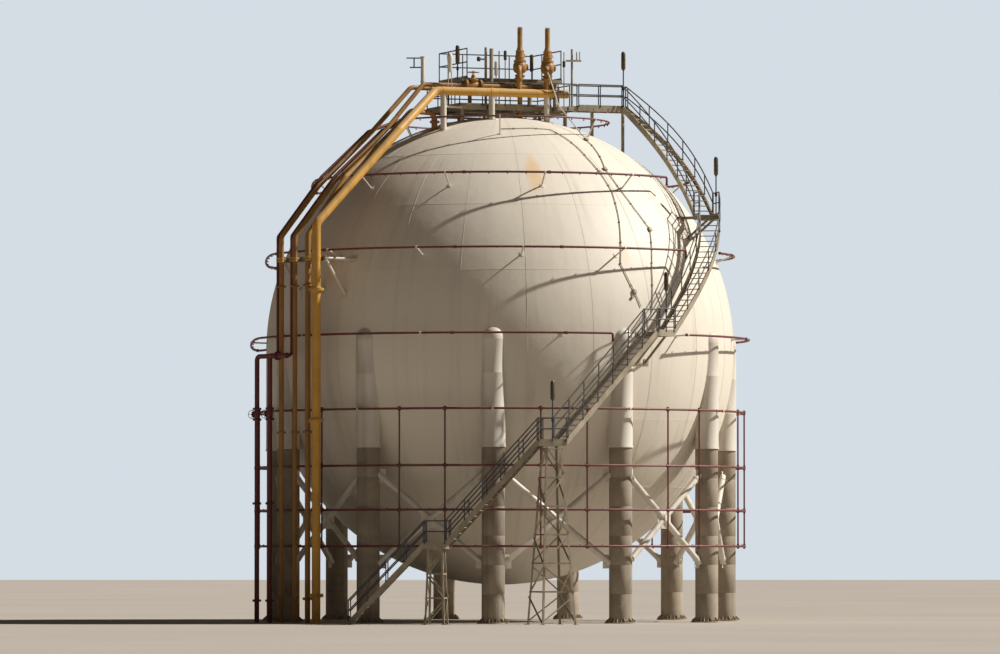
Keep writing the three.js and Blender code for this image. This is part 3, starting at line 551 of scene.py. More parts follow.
def seamBeads(low, high, plates):
    out = shell["beadRadius"] - shell["beadSink"] - shell["beadRadius"] / 2
    upright = []
    latitudes = [low + (high - low) * step / shell["beadSteps"] for step in range(shell["beadSteps"] + 1)]
    for plate in range(plates):
        azimuth = shellLook["seamAzimuth"] + 360 * plate / plates
        upright.append([onBall(azimuth, latitude, out) for latitude in latitudes])
    parts = [tubes(upright, shell["beadRadius"], 6)]
    if high < 90:
        level = [onBall(360 * step / shell["segments"], high, out) for step in range(shell["segments"])]
        parts.append(tubes([level], shell["beadRadius"], 6, closed=True))
    return parts


def boltRing(count, circle, radius, height):
    seat, stud = height * 0.6, radius * 0.55
    outline = [(0, 0), (radius, 0), (radius, seat), (stud, seat), (radius * 0.5, height), (0, height)]
    return stamped(turned(outline, 6), ringPlaces(count, Matrix.Translation((circle, 0, 0))))


def manwayParts():
    neckRadius, rim, lid = shell["manwayRadius"], shell["flangeRadius"], shell["manwayTop"]
    inside, under = ballRadius - shell["wall"], lid - shell["flangeDepth"]
    seal, seat = lid - shell["joint"], lid - shell["joint"] - shell["gasket"]
    fillet = [(neckRadius + outward, ballRadius + rise) for outward, rise in shell["fillet"]]
    gap, (trim, chamfer) = rim - shell["groove"], shell["lidEdge"]
    outline = [
        (0, inside), (neckRadius, inside), *fillet, (neckRadius, under), (rim, under), (rim, seat),
        (gap, seat), (gap, seal), (rim, seal), (rim, lid - chamfer), (rim - trim, lid), (0, lid),
    ]
    neck = moved(turned(outline, 48), ballCentre)
    bolts = boltRing(shell["boltCount"], rim - shell["boltInset"], *shell["bolt"])
    return [neck, moved(bolts, ballCentre + upward * lid)]


def buildShell():
    for node, (low, high, plates) in shell["courses"].items():
        parts = [courseMesh(low, high), *seamBeads(low, high, plates)]
        if high == 90:
            parts.extend(manwayParts())
        finished(node + "_plates", parts, "shell_paint", node, smooth=40)


buildShell()
print("shell made")


# Legs: white upper column with a domed cap, fireproofed column below, and a bolted base plate
legs = {
    "count": 11, "firstAzimuth": -1.65, "circle": 10.476, "column": 0.55, "sleeve": 0.52, "sleeveTop": 7.93,
    "domeStart": 12.78, "joints": (9.6, 11.2, 12.72), "plate": 0.72, "plateThickness": 0.06, "sides": 48,
    "hood": 0.025, "bead": (0.006, 0.02), "grooveEvery": 1.31, "groove": (-0.008, 0.012),
    "lap": 0.02, "drip": 0.05, "shoulder": 0.06, "sleeveEdge": 0.03, "sleeveFoot": 0.1,
    "sleeveHead": (0.08, 0.04), "lastGroove": 0.3, "plateEdge": 0.006, "gussetInset": 0.02, "gussetLip": 0.04,
    "anchorCount": 12, "anchorInset": 0.08, "anchor": (0.032, 0.11), "gussetCount": 12, "gussetHeight": 0.2,
    "gussetThickness": 0.016, "weldBead": 0.018, "weldReach": 0.006, "gap": 0.0003,
}
bayAngle = 360 / legs["count"]


def legAzimuth(index):
    return legs["firstAzimuth"] + bayAngle * index


def atLegs(template, azimuths):
    return copied(template, [turnedRoundTank(azimuth) for azimuth in azimuths])


# A bead in the outline of a turned part, or a groove where the bulge is below zero
def band(radius, height, bulge, half):
    return [(radius, height - half), (radius + bulge, height), (radius, height + half)]


def upperColumn():
    radius = legs["column"]
    hood = radius + legs["hood"]
    foot = legs["sleeveTop"]
    inner, under, shoulder = radius - legs["lap"], foot - legs["drip"], foot + legs["shoulder"]
    outline = [(0, foot), (inner, foot), (inner, under), (hood, under), (hood, foot), (radius, shoulder)]
    for joint in legs["joints"]:
        outline.extend(band(radius, joint, *legs["bead"]))
    for step in range(9):
        turn = math.radians(90 * step / 8)
        outline.append((radius * math.cos(turn), legs["domeStart"] + radius * math.sin(turn)))
    outline[-1] = (0, legs["domeStart"] + radius)
    column = moved(turned(outline, legs["sides"]), around(0, legs["circle"], 0))
    ball = ballMesh(ballRadius + legs["gap"])
    cutBy(column, ball)
    bpy.data.objects.remove(ball)
    return column


# The weld where a column meets the ball follows the edge of its cut
def columnWeld(column):
    bead = copied(column, [Matrix()])[0]

    def onShell(face):
        corners = [bead.data.vertices[corner].co for corner in face.vertices]
        return max(abs((corner - ballCentre).length - ballRadius) for corner in corners) < legs["weldReach"]

    selectFaces(bead, onShell)
    bpy.ops.mesh.select_mode(type="FACE")
    bpy.ops.mesh.region_to_loop()
    bpy.ops.mesh.select_all(action="INVERT")
    bpy.ops.mesh.delete(type="EDGE")
    bpy.ops.object.mode_set(mode="OBJECT")
    bpy.ops.object.convert(target="CURVE")
    bead.data.bevel_depth = legs["weldBead"]
    bead.data.bevel_resolution = 1
    bpy.ops.object.convert(target="MESH")
    return cleaned(bead)


def sleeveColumn():
    radius, foot, head = legs["sleeve"], legs["plateThickness"], legs["sleeveTop"]
    edge = radius - legs["sleeveEdge"]
    outline = [(0, foot), (edge, foot), (radius, legs["sleeveFoot"])]
    height = legs["grooveEvery"]
    while height < head - legs["lastGroove"]:
        outline.extend(band(radius, height, *legs["groove"]))
        height += legs["grooveEvery"]
    high, highest = [head - drop for drop in legs["sleeveHead"]]
    outline.extend([(radius, high), (edge, highest), (0, highest)])
    return moved(turned(outline, legs["sides"]), around(0, legs["circle"], 0))


def basePlate():
    radius, thick = legs["plate"], legs["plateThickness"]
    edge, inset = legs["plateEdge"], legs["gussetInset"]
    outline = [(0, 0), (radius, 0), (radius, thick - edge), (radius - edge, thick), (0, thick)]
    plate = turned(outline, legs["sides"])
    bolts = boltRing(legs["anchorCount"], radius - legs["anchorInset"], *legs["anchor"])
    root, outer, tall = legs["sleeve"] - inset, radius - inset, legs["gussetHeight"]
    gusset = prism([(root, 0), (outer, 0), (outer, legs["gussetLip"]), (legs["sleeve"], tall), (root, tall)])
    upright = Matrix.Rotation(math.pi / 2, 4, "X") @ Matrix.Diagonal((1, 1, legs["gussetThickness"], 1))
    gussets = stamped(gusset, ringPlaces(legs["gussetCount"], upright, 0.5))
    raisedParts = [moved(part, (0, 0, thick)) for part in (bolts, gussets)]
    return moved(joined([plate, *raisedParts]), around(0, legs["circle"], 0))


def buildLegs():
    column = upperColumn()
    weld = columnWeld(column)
    templates = {
        "column": (joined([column, weld]), "leg_paint"),
        "fireproofing": (sleeveColumn(), "fireproofing"),
        "base": (basePlate(), "galvanised_steel"),
    }
    azimuths = [legAzimuth(index) for index in range(legs["count"])]
    for part, (template, finish) in templates.items():
        for index, copy in enumerate(atLegs(template, azimuths)):
            node = f"leg_{index + 1:02d}"
            finished(f"{node}_{part}", [copy], finish, node)
        bpy.data.objects.remove(template)


buildLegs()
print("legs made")


# Crossed bracing between neighbouring legs, with gusset plates where it meets them and where it crosses
bracing = {
    "tube": 0.137, "high": 7.1, "low": 2.3, "plate": 0.02, "gusset": (0.62, 0.5), "gussetReach": 0.12,
    "middle": 0.9, "collar": 0.02, "collarLength": 0.05, "collarReach": 0.3, "sink": 0.04,
}


def buildBracing():
    here, there = legAzimuth(0), legAzimuth(1)
    foot, head = bracing["low"], bracing["high"]
    circle = legs["circle"]
    sides = [around(here, circle, 0), around(there, circle, 0)]
    along = (sides[1] - sides[0]).normalized()
    parts = []
    tube, rim, long = bracing["tube"], bracing["tube"] + bracing["collar"], bracing["collarLength"]
    plate = (bracing["plate"], *bracing["gusset"])
    for start, end in ((foot, head), (head, foot)):
        low = sides[0] + upward * start
        high = sides[1] + upward * end
        slope = (high - low).normalized()
        trim = slope * (legs["sleeve"] / abs(slope.dot(along)) - bracing["sink"])
        parts.append(tubes([[low + trim, high - trim]], tube, 20))
        for spot, direction in ((low + trim, slope), (high - trim, -slope)):
            collar = turned([(tube, 0), (rim, 0), (rim, long), (tube, long)], 20)
            parts.append(placed(collar, facing(spot + direction * bracing["collarReach"], direction)))
            parts.append(block(plate, facing(spot + direction * bracing["gussetReach"], along), 0.004))
    middle = (sides[0] + sides[1]) / 2 + upward * (foot + head) / 2
    plate = (bracing["plate"], bracing["middle"], bracing["middle"])
    parts.append(block(plate, facing(middle, along), 0.004))
    template = joined(parts)
    for index, copy in enumerate(atLegs(template, [bayAngle * bay for bay in range(legs["count"])])):
        node = f"brace_{index + 1:02d}"
        finished(node + "_tubes", [copy], "leg_paint", node)
    bpy.data.objects.remove(template)


buildBracing()
print("bracing made")


# Fittings shared by the pipes
def flangePair(radius):
    thick = 0.012 + radius * 0.18
    rim = radius * 1.6 + 0.03
    neck, gap, face, hub = radius + 0.4 * thick, 0.1 * thick, 1.1 * thick, 2.4 * thick
    upperHalf = [(rim * 0.86, gap), (rim, gap), (rim, face), (neck, face), (radius, hub), (0, hub)]
    disc = turned([*[(reach, -height) for reach, height in reversed(upperHalf)], *upperHalf], 28)
    stud, tall = rim * 0.07, 1.8 * thick
    bolt = turned([(0, -tall), (stud, -tall), (stud, tall), (0, tall)], 6)
    circle = (rim + radius) / 2 + 0.2 * thick
    return joined([disc, stamped(bolt, ringPlaces(12, Matrix.Translation((circle, 0, 0))))])


def flanges(radius, spots):
    return stampedAt(flangePair(radius), spots)


def sleeves(radius, length, spots, sides=16):
    outline = [(0, -length / 2), (radius, -length / 2), (radius, length / 2), (0, length / 2)]
    return stampedAt(turned(outline, sides), spots)


def pads(size, thick, spots):
    return stampedAt(block((size, size, thick), Matrix.Translation((0, 0, thick / 2)), 0.003), spots)


def shellPads(size, thick, feet):
    return pads(size, thick, [(foot, foot - ballCentre) for foot in feet])


def alongRun(run, spacing, first=0.0):
    spots = []
    goal = first
    travelled = 0.0
    for start, end in zip(run, run[1:]):
        length = (end - start).length
        while travelled + length >= goal:
            spots.append((start.lerp(end, (goal - travelled) / length), (end - start).normalized()))
            goal += spacing
        travelled += length
    return spots


def shellFoot(point, direction):
    ray = direction.normalized()
    offset = point - ballCentre
    half = offset.dot(ray)
    return point + ray * (-half - math.sqrt(half * half - offset.length_squared + ballRadius ** 2))


# Spray rings round the ball: open at the stair, dipped at the left, held by stubs on the shell
spray = {
    "tube": 0.052, "stub": 0.038, "elbowDrop": 0.35, "dip": (-72, -128), "drop": 0.4, "nozzleGap": 0.85,
    "steps": 168, "coupling": (0.075, 0.14), "endCap": (0.07, 0.06), "hoop": (0.066, 0.08),
    "pad": (0.2, 0.012), "elbow": 0.1,
    "nozzle": ((0, 0), (0.02, 0), (0.02, 0.07), (0.03, 0.075), (0.03, 0.1), (0.012, 0.125), (0, 0.125)),
    "rings": {
        "spray_ring_upper": {"radius": 8.7, "height": 20.29, "open": (61, 92), "stubs": (12, 13.5)},
        "spray_ring_middle": {"radius": 10.82, "height": 16.83, "open": (51, 68), "stubs": (14, 5.5)},
        "spray_ring_equator": {"radius": 11.5, "height": 12.975, "open": (26, 47), "stubs": (11, 14.71)},
    },
    "couplings": (-10.7, 14.8, 79.0, 164.0, -101.0, -47.0),
}
crownRing = {
    "radius": 5.05, "height": 23.05, "tube": 0.042, "stub": 0.03, "hoop": (0.055, 0.07), "stubCount": 6,
}


def ringPoint(ring, azimuth):
    start, end = spray["dip"]
    share = (azimuth - start) / (end - start)
    drop = spray["drop"] * math.sin(math.pi * share) ** 2 if 0 < share < 1 else 0.0
    return around(azimuth, ring["radius"], ring["height"] - drop)


def stubPoints(ring):
    count, first = ring["stubs"]
    turns = [(first + 360 * index / count + 180) % 360 - 180 for index in range(count)]
    return [ringPoint(ring, turn) for turn in turns if not ring["open"][0] < turn < ring["open"][1]]


def nozzles(run, spacing):
    spots = alongRun(run, spacing, spacing / 2)
    return stampedAt(turned(spray["nozzle"], 8), [(point, ballCentre - point) for point, direction in spots])


def finishedStubs(name, node, points, radius, hoop):
    feet = [shellFoot(point, ballCentre - point) for point in points]
    hoops = [(point, leftOf((point - axis) * Vector((1, 1, 0)))) for point in points]
    parts = [tubes(zip(points, feet), radius, 10), shellPads(*spray["pad"], feet), sleeves(*hoop, hoops)]
    finished(name, parts, "leg_paint", node)


def buildRings():
    for node, ring in spray["rings"].items():
        start, end = ring["open"]
        sweep = start - (end - 360)
        steps = spray["steps"]
        circle = [ringPoint(ring, start - sweep * step / steps) for step in range(steps + 1)]
        foot = circle[0] - upward * spray["elbowDrop"]
        run = rounded([foot, circle[0], circle[1]], spray["elbow"]) + circle[2:]
        joints = [azimuth for azimuth in spray["couplings"] if not start < azimuth < end]
        couplings = [(ringPoint(ring, azimuth), headingOf(azimuth)) for azimuth in joints]
        ends = [(foot, upward), (circle[-1], headingOf(end))]
        parts = [
            tubes([run], spray["tube"], 14), nozzles(circle, spray["nozzleGap"]),
            sleeves(*spray["coupling"], couplings), sleeves(*spray["endCap"], ends),
        ]
        finished(node + "_pipe", parts, "spray_pipe_maroon", node)
        finishedStubs(node + "_stubs", node, stubPoints(ring), spray["stub"], spray["hoop"])


buildRings()
print("spray rings made")


# Lower spray cage: four rings outside the legs, droppers between them, and arms to the columns
cage = {
    "radius": 11.286, "heights": (9.606, 7.07, 5.09, 3.46), "dropper": 0.038, "tee": (0.056, 0.22),
    "cross": (0.07, 0.2), "nozzleGap": 1.05, "arm": 0.045, "hoop": (0.068, 0.08), "pad": (0.2, 0.016),
}


def buildCage():
    radius, heights = cage["radius"], cage["heights"]
    circles = [[around(2 * step, radius, height) for step in range(180)] for height in heights]
    parts = [tubes(circles, spray["tube"], 14, closed=True)]
    shares = [index + share for index in range(legs["count"]) for share in (1 / 3, 2 / 3)]
    turns = [legs["firstAzimuth"] + bayAngle * share for share in shares]
    drops = [[around(turn, radius, heights[0]), around(turn, radius, heights[-1])] for turn in turns]
    parts.append(tubes(drops, cage["dropper"], 12))
    spots = [(turn, around(turn, radius, height)) for turn in turns for height in heights]
    parts.append(sleeves(*cage["tee"], aimed([spot for turn, spot in spots])))
    parts.append(sleeves(*cage["cross"], [(spot, headingOf(turn)) for turn, spot in spots]))
    parts.extend(nozzles(circle + circle[:1], cage["nozzleGap"]) for circle in circles)
    finished("spray_cage_lower_pipes", parts, "spray_pipe_maroon", "spray_cage_lower")
    turns = [legAzimuth(index) for index in range(legs["count"])]
    roots = [around(turn, legs["circle"] + legs["column"] - 0.01, heights[0]) for turn in turns]
    tips = [around(turn, radius, heights[0]) for turn in turns]
    plates = [(root, around(turn, 1, 0) - axis) for turn, root in zip(turns, roots)]
    hoops = [(tip, headingOf(turn)) for turn, tip in zip(turns, tips)]
    arms = tubes(zip(roots, tips), cage["arm"], 10)
    holders = [arms, pads(*cage["pad"], plates), sleeves(*cage["hoop"], hoops)]
    finished("spray_cage_lower_arms", holders, "leg_paint", "spray_cage_lower")


buildCage()
print("spray cage made")


# The pipe bank at the left: upright pipes in a row, set out by their offset along it
bank = {
    "azimuth": -54.0, "distance": 11.772, "knee": 17.47, "bend": 0.4, "slope": ((9.72, 19.86), (6.76, 22.45)),
    "lines": {
        "yellow_line_2": {
            "offset": 1.485, "radius": 0.125, "lift": 0.29, "shoulder": (-4.777, -4.4, 22.5),
            "crest": (-4.07, -3.92, 23.35), "nozzle": (-3.0, -2.35),
        },
        "yellow_line_3": {"offset": 0.456, "radius": 0.105, "lift": 0.0},
        "yellow_line_4": {
            "offset": -0.626, "radius": 0.11, "lift": 0.0, "reach": 4.6, "height": 24.55, "nozzle": 2.7,
        },
    },
    "flangeHeights": (1.1, 8.6, 15.2), "seams": (2.95, 1.9), "nozzleJoint": 0.34, "endJoint": 0.06,
}
relief = {
    "radius": 0.195, "level": 24.33, "offset": 2.164, "knee": 17.976, "shoulder": (-4.58, -5.25, 22.4),
    "bend": 0.45, "flangeHeights": (1.25, 9.1, 15.0), "seams": (3.05, 2.4), "saddle": 0.16,
}
headerLine = {"heading": 21.5, "across": -1.804, "start": -3.9, "end": 2.63, "posts": (-3.496, -1.117, 1.611)}
besideHeader = {
    "start": -4.42, "end": 2.0, "across": -1.565, "height": 24.62, "ties": (-2.9, -0.2, 1.5),
    "post": 0.095, "postTop": 25.9, "collar": (0.02, 0.05), "collarLift": 0.14, "arm": 0.03, "armPast": 0.09,
    "arms": ((25.83, 0.75), (25.4, 0.6)), "brace": (0.35, 0.2), "tie": 0.04,
}
topAlong = headingOf(headerLine["heading"])
topAcross = leftOf(topAlong)
bankOut = around(bank["azimuth"], 1, 0) - axis
bankAlong = leftOf(bankOut)


def inBank(offset, height, distance=bank["distance"]):
    return axis + bankOut * distance + bankAlong * offset + upward * height


def onTop(along, across, height):
    return axis + topAlong * along + topAcross * across + upward * height


def atHeader(along, rise=0.0):
    return onTop(along, headerLine["across"], relief["level"] + rise)


def nextToHeader(along, rise=0.0):
    return onTop(along, besideHeader["across"], besideHeader["height"] + rise)


def seamRings(run, radius, spacing, first):
    return sleeves(radius + 0.005, 0.022, alongRun(run, spacing, first), 24)


# One line runs beside the relief header, the others drop to nozzles on the crown
def lineEnd(line):
    if "crest" in line:
        crest = axis + Vector(line["crest"])
        above = axis + Vector((*line["nozzle"], crest.z))
        return [axis + Vector(line["shoulder"]), crest, above, shellFoot(above, -upward)]
    if "nozzle" in line:
        turns = [inBank(line["offset"], line["height"], line[spot]) for spot in ("reach", "nozzle")]
        return [*turns, shellFoot(turns[-1], -upward)]
    return [nextToHeader(besideHeader[spot]) for spot in ("start", "end")]


def buildGasLines():
    for node, line in bank["lines"].items():
        offset, radius = line["offset"], line["radius"]
        slope = bank["slope"][:1] if "shoulder" in line else bank["slope"]
        way = [inBank(offset, height + line["lift"], distance) for distance, height in slope]
        foot, knee = [inBank(offset, height) for height in (0, bank["knee"])]
        run = rounded([foot, knee, *way, *lineEnd(line)], bank["bend"])
        end = run[-1]
        joints = aimed([inBank(offset, height) for height in bank["flangeHeights"]])
        if "nozzle" in line:
            joints.append((end + upward * bank["nozzleJoint"], upward))
        else:
            joints.append((end - topAlong * bank["endJoint"], topAlong))
        parts = [tubes([run], radius, 28), flanges(radius, joints), seamRings(run, radius, *bank["seams"])]
        if "nozzle" in line:
            parts.append(shellPads(radius * 4, 0.02, [end]))
        # The bank lines take the darker yellow, whose colour carries painted shade
        finished(node + "_pipe", parts, "shade_darkened_yellow", node)


# White post with two arms on the bend beside the header, and the ties that hold that line to the header
def buildVentPost():
    size = besideHeader
    foot = nextToHeader(size["start"])
    head = Vector((foot.x, foot.y, size["postTop"]))
    rim, long = size["collar"]
    collars = aimed([foot + upward * size["collarLift"], head - upward * rim])
    parts = [tubes([[foot, head]], size["post"], 16), sleeves(size["post"] + rim, long, collars)]
    finished("vent_post", parts, "leg_paint", "yellow_line_3")
    arms, brace = [], []
    for (height, reach), inward in zip(size["arms"], size["brace"]):
        root = Vector((foot.x, foot.y, height))
        tip = root - Vector((reach, 0, 0))
        arms.append([root + Vector((size["armPast"], 0, 0)), tip])
        brace.insert(0, tip + Vector((inward, 0, 0)))
    finished("vent_arms", [tubes([*arms, brace], size["arm"], 10)], "handrail", "yellow_line_3")
    ties = [(atHeader(along), nextToHeader(along)) for along in size["ties"]]
    finished("header_ties", [tubes(ties, size["tie"], 8)], "gas_pipe_yellow", "yellow_line_3")


def buildReliefHeader():
    heights = (0, relief["knee"], *relief["flangeHeights"])
    foot, knee, *joints = [inBank(relief["offset"], height) for height in heights]
    header = [atHeader(headerLine[spot]) for spot in ("start", "end")]
    run = rounded([foot, knee, axis + Vector(relief["shoulder"]), *header], relief["bend"], 8)
    reach = relief["radius"]
    cap = turned([(0, -0.02), (reach, -0.02), (reach * 0.92, 0.03), (reach * 0.6, 0.07), (0, 0.09)], 32)
    saddles = aimed([atHeader(along) for along in headerLine["posts"]], topAlong)
    parts = [
        tubes([run], reach, 36), flanges(reach, aimed(joints)),
        placed(cap, facing(header[-1], topAlong)), sleeves(reach + 0.012, relief["saddle"], saddles, 32),
        seamRings(run, reach, *relief["seams"]),
    ]
    finished("relief_header_pipe", parts, "gas_pipe_yellow", "relief_header")


buildGasLines()
buildVentPost()
buildReliefHeader()
print("gas pipes made")


# Water risers beside the bank: two supplies, their header, two risers and the ring on the top crown
water = {
    "distance": 12.1, "height": 12.068, "radius": 0.11, "supplies": (-2.113, -1.077), "riser": 0.075,
    "risers": (-0.904, 0.199), "bend": 0.2, "slope": ((9.396, 20.276), (6.804, 22.436)), "valveHeight": 9.45,
    "flangeHeights": (1.0, 5.4), "headerFlange": -0.45, "nozzleGap": 0.8, "seams": (3.3, 2.2),
    "endCap": 0.1, "tee": 0.26,
}


def handwheel(radius):
    deselectAll()
    bpy.ops.mesh.primitive_torus_add(
        major_radius=radius, minor_radius=radius * 0.07, major_segments=28, minor_segments=8
    )
    rim = bpy.context.object
    spokes = tubes([[Vector(), headingOf(90 * turn) * radius] for turn in range(4)], radius * 0.05, 6)
    return joined([rim, spokes, sleeves(radius * 0.14, radius * 0.2, [(Vector(), upward)])])


def gateValve(radius):
    def scaled(outline):
        return [(reach * radius, height * radius) for reach, height in outline]

    sideways = Vector((1, 0, 0))
    bonnet = turned(scaled([
        (0, 0), (1.05, 0), (1.05, 1.5), (1.5, 1.5), (1.5, 1.95), (0.7, 2.1), (0.45, 3.2), (0.2, 3.3),
        (0.2, 4.4), (0, 4.4),
    ]), 20)
    placed(bonnet, facing(Vector(), sideways))
    wheel = placed(handwheel(radius * 1.7), facing(sideways * radius * 3.9, sideways))
    body = turned(scaled([(0, -2), (1, -2), (1.25, -1), (1.25, 1), (1, 2), (0, 2)]), 24)
    ends = flanges(radius, aimed([upward * radius * side * 2.2 for side in (-1, 1)]))
    return joined([body, bonnet, wheel, ends])


def buildWaterPipes():
    def outside(offset, height=water["height"]):
        return inBank(offset, height, water["distance"])

    crown, circle, radius = crownRing["height"], crownRing["radius"], water["radius"]
    runs = []
    for offset in water["risers"]:
        way = [inBank(offset, height) for height in (water["height"], bank["knee"])]
        way.extend(inBank(offset, height, distance) for distance, height in water["slope"])
        end = inBank(offset, crown, math.sqrt(circle ** 2 - offset ** 2))
        runs.append(rounded([outside(offset), *way, end], water["bend"]))
    ring = [around(3 * step, circle, crown) for step in range(120)]
    parts = [tubes(runs, water["riser"], 18), tubes([ring], crownRing["tube"], 12, closed=True)]
    parts.extend(seamRings(run, water["riser"], *water["seams"]) for run in runs)
    supplies = water["supplies"]
    first, second = supplies
    end = outside(water["risers"][-1])
    header = rounded([outside(first, 0), outside(first), end], water["bend"])
    parts.append(tubes([header, [outside(second, 0), outside(second)]], radius, 24))
    parts.append(sleeves(radius + 0.012, water["endCap"], aimed([end], bankAlong), 24))
    joints = aimed([outside(offset, height) for offset in supplies for height in water["flangeHeights"]])
    joints.append((outside(water["headerFlange"]), bankAlong))
    parts.append(flanges(radius, joints))
    places = [facing(outside(offset, water["valveHeight"]), upward, bankOut) for offset in supplies]
    parts.append(stamped(gateValve(radius), places))
    tees = aimed([outside(offset) for offset in water["risers"]], bankAlong)
    parts.append(sleeves(radius + 0.014, water["tee"], tees, 24))
    parts.append(nozzles(ring, water["nozzleGap"]))
    finished("spray_risers_pipes", parts, "spray_pipe_maroon", "spray_risers")
    count = crownRing["stubCount"]
    turns = [(360 * index / count + 180) % 360 - 180 for index in range(count)]
    points = [around(turn, circle, crown) for turn in turns]
    finishedStubs("spray_risers_stubs", "spray_risers", points, crownRing["stub"], crownRing["hoop"])


buildWaterPipes()
print("water pipes made")


# Bracket that holds the pipe bank off the shell: a beam, a saddle and clamp for each pipe, and braced arms
bracket = {
    "height": 16.41, "start": -1.25, "end": 2.45, "back": 11.38, "front": 11.53, "depth": 0.22,
    "plate": 0.014, "arms": (-1.1, 0.8, 2.3), "armRadius": 0.06, "armReach": 9.72, "lowReach": 10.368,
    "lowDrop": 1.5, "clampGap": 0.06, "clamp": 0.07, "saddle": 0.16, "pad": (0.34, 0.016),
}


def buildBracket():
    middle = (bracket["back"] + bracket["front"]) / 2
    edge, web = (bracket["front"] - bracket["back"]) / 2, bracket["plate"] / 2
    high = bracket["depth"] / 2
    low = high - bracket["plate"]
    beam = [
        (-edge, -high), (edge, -high), (edge, -low), (web, -low), (web, low), (edge, low), (edge, high),
        (-edge, high), (-edge, low), (-web, low), (-web, -low), (-edge, -low),
    ]
    level = bracket["height"]
    ends = [inBank(bracket[side], level, middle) for side in ("start", "end")]
    parts = [bars(beam, [ends])]
    pipes = [(line["offset"], line["radius"]) for line in bank["lines"].values()]
    pipes.extend((offset, water["riser"]) for offset in water["risers"])
    pipes.append((relief["offset"], relief["radius"]))
    clamps, saddles = [], []
    for offset, radius in pipes:
        centre = inBank(offset, level)
        bands = aimed([centre + upward * bracket["clampGap"] * side for side in (1, -1)])
        clamps.append(sleeves(radius + 0.012, bracket["clamp"], bands, 28))
        gap = bank["distance"] - radius - bracket["front"]
        saddle = inBank(offset, level, bracket["front"] + gap / 2 - 0.01)
        size = (bracket["saddle"], bracket["saddle"], gap + 0.04)
        saddles.append(block(size, facing(saddle, bankOut), 0.004))
    parts.extend(saddles)
    finished("pipe_bank_bracket_beam", parts, "galvanised_steel", "pipe_bank_bracket")
    finished("pipe_bank_bracket_clamps", clamps, "gas_pipe_yellow", "pipe_bank_bracket")
    arms, feet = [], []
    for offset in bracket["arms"]:
        root = inBank(offset, level, bracket["back"])
        inward = inBank(offset, level, bracket["armReach"]) - root
        sloping = inBank(offset, level - bracket["lowDrop"], bracket["lowReach"]) - root
        for direction in (inward, sloping):
            foot = shellFoot(root, direction)
            arms.append([root, foot])
            feet.append(foot)
    holders = [tubes(arms, bracket["armRadius"], 14), shellPads(*bracket["pad"], feet)]
    finished("pipe_bank_bracket_arms", holders, "leg_paint", "pipe_bank_bracket")


buildBracket()
print("pipe bracket made")


# Parts shared by stairs and decks
steel = {
    "railTube": 0.03, "postTube": 0.026, "knee": 0.528, "railFoot": (0.04, 0.06), "railBend": 0.06,
    "toe": 0.1, "toePlate": 0.006, "bar": 0.005, "barDepth": 0.03, "pitch": 0.045, "rod": 0.008,
    "rodPitch": 0.12, "under": 0.002, "channel": (0.075, 0.01), "joist": 0.09, "joistGap": 1.25,
    "gratingInset": 0.012, "pad": (0.3, 0.016),
}


def raised(run, height):
    return [point + upward * height for point in run]


def railParts(runs, posts, height, low=0.0):
    highest = height - steel["railTube"]
    rails = [raised(run, level) for run in runs for level in (highest, height * steel["knee"])]
    uprights = [[post + upward * low, post + upward * highest] for post in posts]
    feet = aimed(raised(posts, low + steel["railFoot"][1] / 2))
    railTubes, postTubes = tubes(rails, steel["railTube"], 10), tubes(uprights, steel["postTube"], 8)
    return [railTubes, postTubes, sleeves(*steel["railFoot"], feet, 10)]


def postsAlong(run, gap):
    posts = [run[0]]
    for start, end in zip(run, run[1:]):
        count = max(1, round((end - start).length / gap))
        posts.extend(start.lerp(end, (step + 1) / count) for step in range(count))
    return posts


def guardRail(run, height):
    return railParts([rounded(run, steel["railBend"], 4)], postsAlong(run, stair["postGap"]), height)


# Bar grating over four corners: bearing bars from the first edge to the third, with cross rods
def grating(corners):
    a, b, c, d = [corner - upward * steel["under"] for corner in corners]
    count = max(2, round((b - a).length / steel["pitch"]))
    shares = [(step + 0.5) / count for step in range(count)]
    bearing = [(a.lerp(b, share), d.lerp(c, share)) for share in shares]
    rods = max(2, round((d - a).length / steel["rodPitch"]))
    shares = [(step + 0.5) / rods for step in range(rods)]
    crossing = [(a.lerp(d, share), b.lerp(c, share)) for share in shares]
    return [
        bars(rectangle(steel["bar"], steel["barDepth"], -steel["barDepth"]), bearing),
        bars(rectangle(steel["rod"], steel["rod"], -steel["rod"]), crossing),
    ]


# Channel frame round the corners, walked with the inside at the left, and joists under the grating
def deckFrame(corners, depth, joistGap=steel["joistGap"]):
    edges = list(zip(corners, corners[1:] + corners[:1]))
    parts = [bars(channelOutline(depth, *steel["channel"], -depth), edges)]
    a, b, c, d = corners
    count = max(1, int((b - a).length / joistGap))
    joists = [(a.lerp(b, step / count), d.lerp(c, step / count)) for step in range(1, count)]
    if joists:
        parts.append(bars(rectangle(steel["joist"], depth - 0.05, 0.01 - depth), joists))
    return parts


def toeBoards(runs):
    ends = [pair for run in runs for pair in zip(run, run[1:])]
    return bars(rectangle(steel["toePlate"], steel["toe"]), ends)


def deckSteel(name, node, parts):
    finished(name, parts, "galvanised_steel", node, smooth=30)


def deckRails(name, node, parts):
    finished(name, parts, "handrail", node, smooth=50)


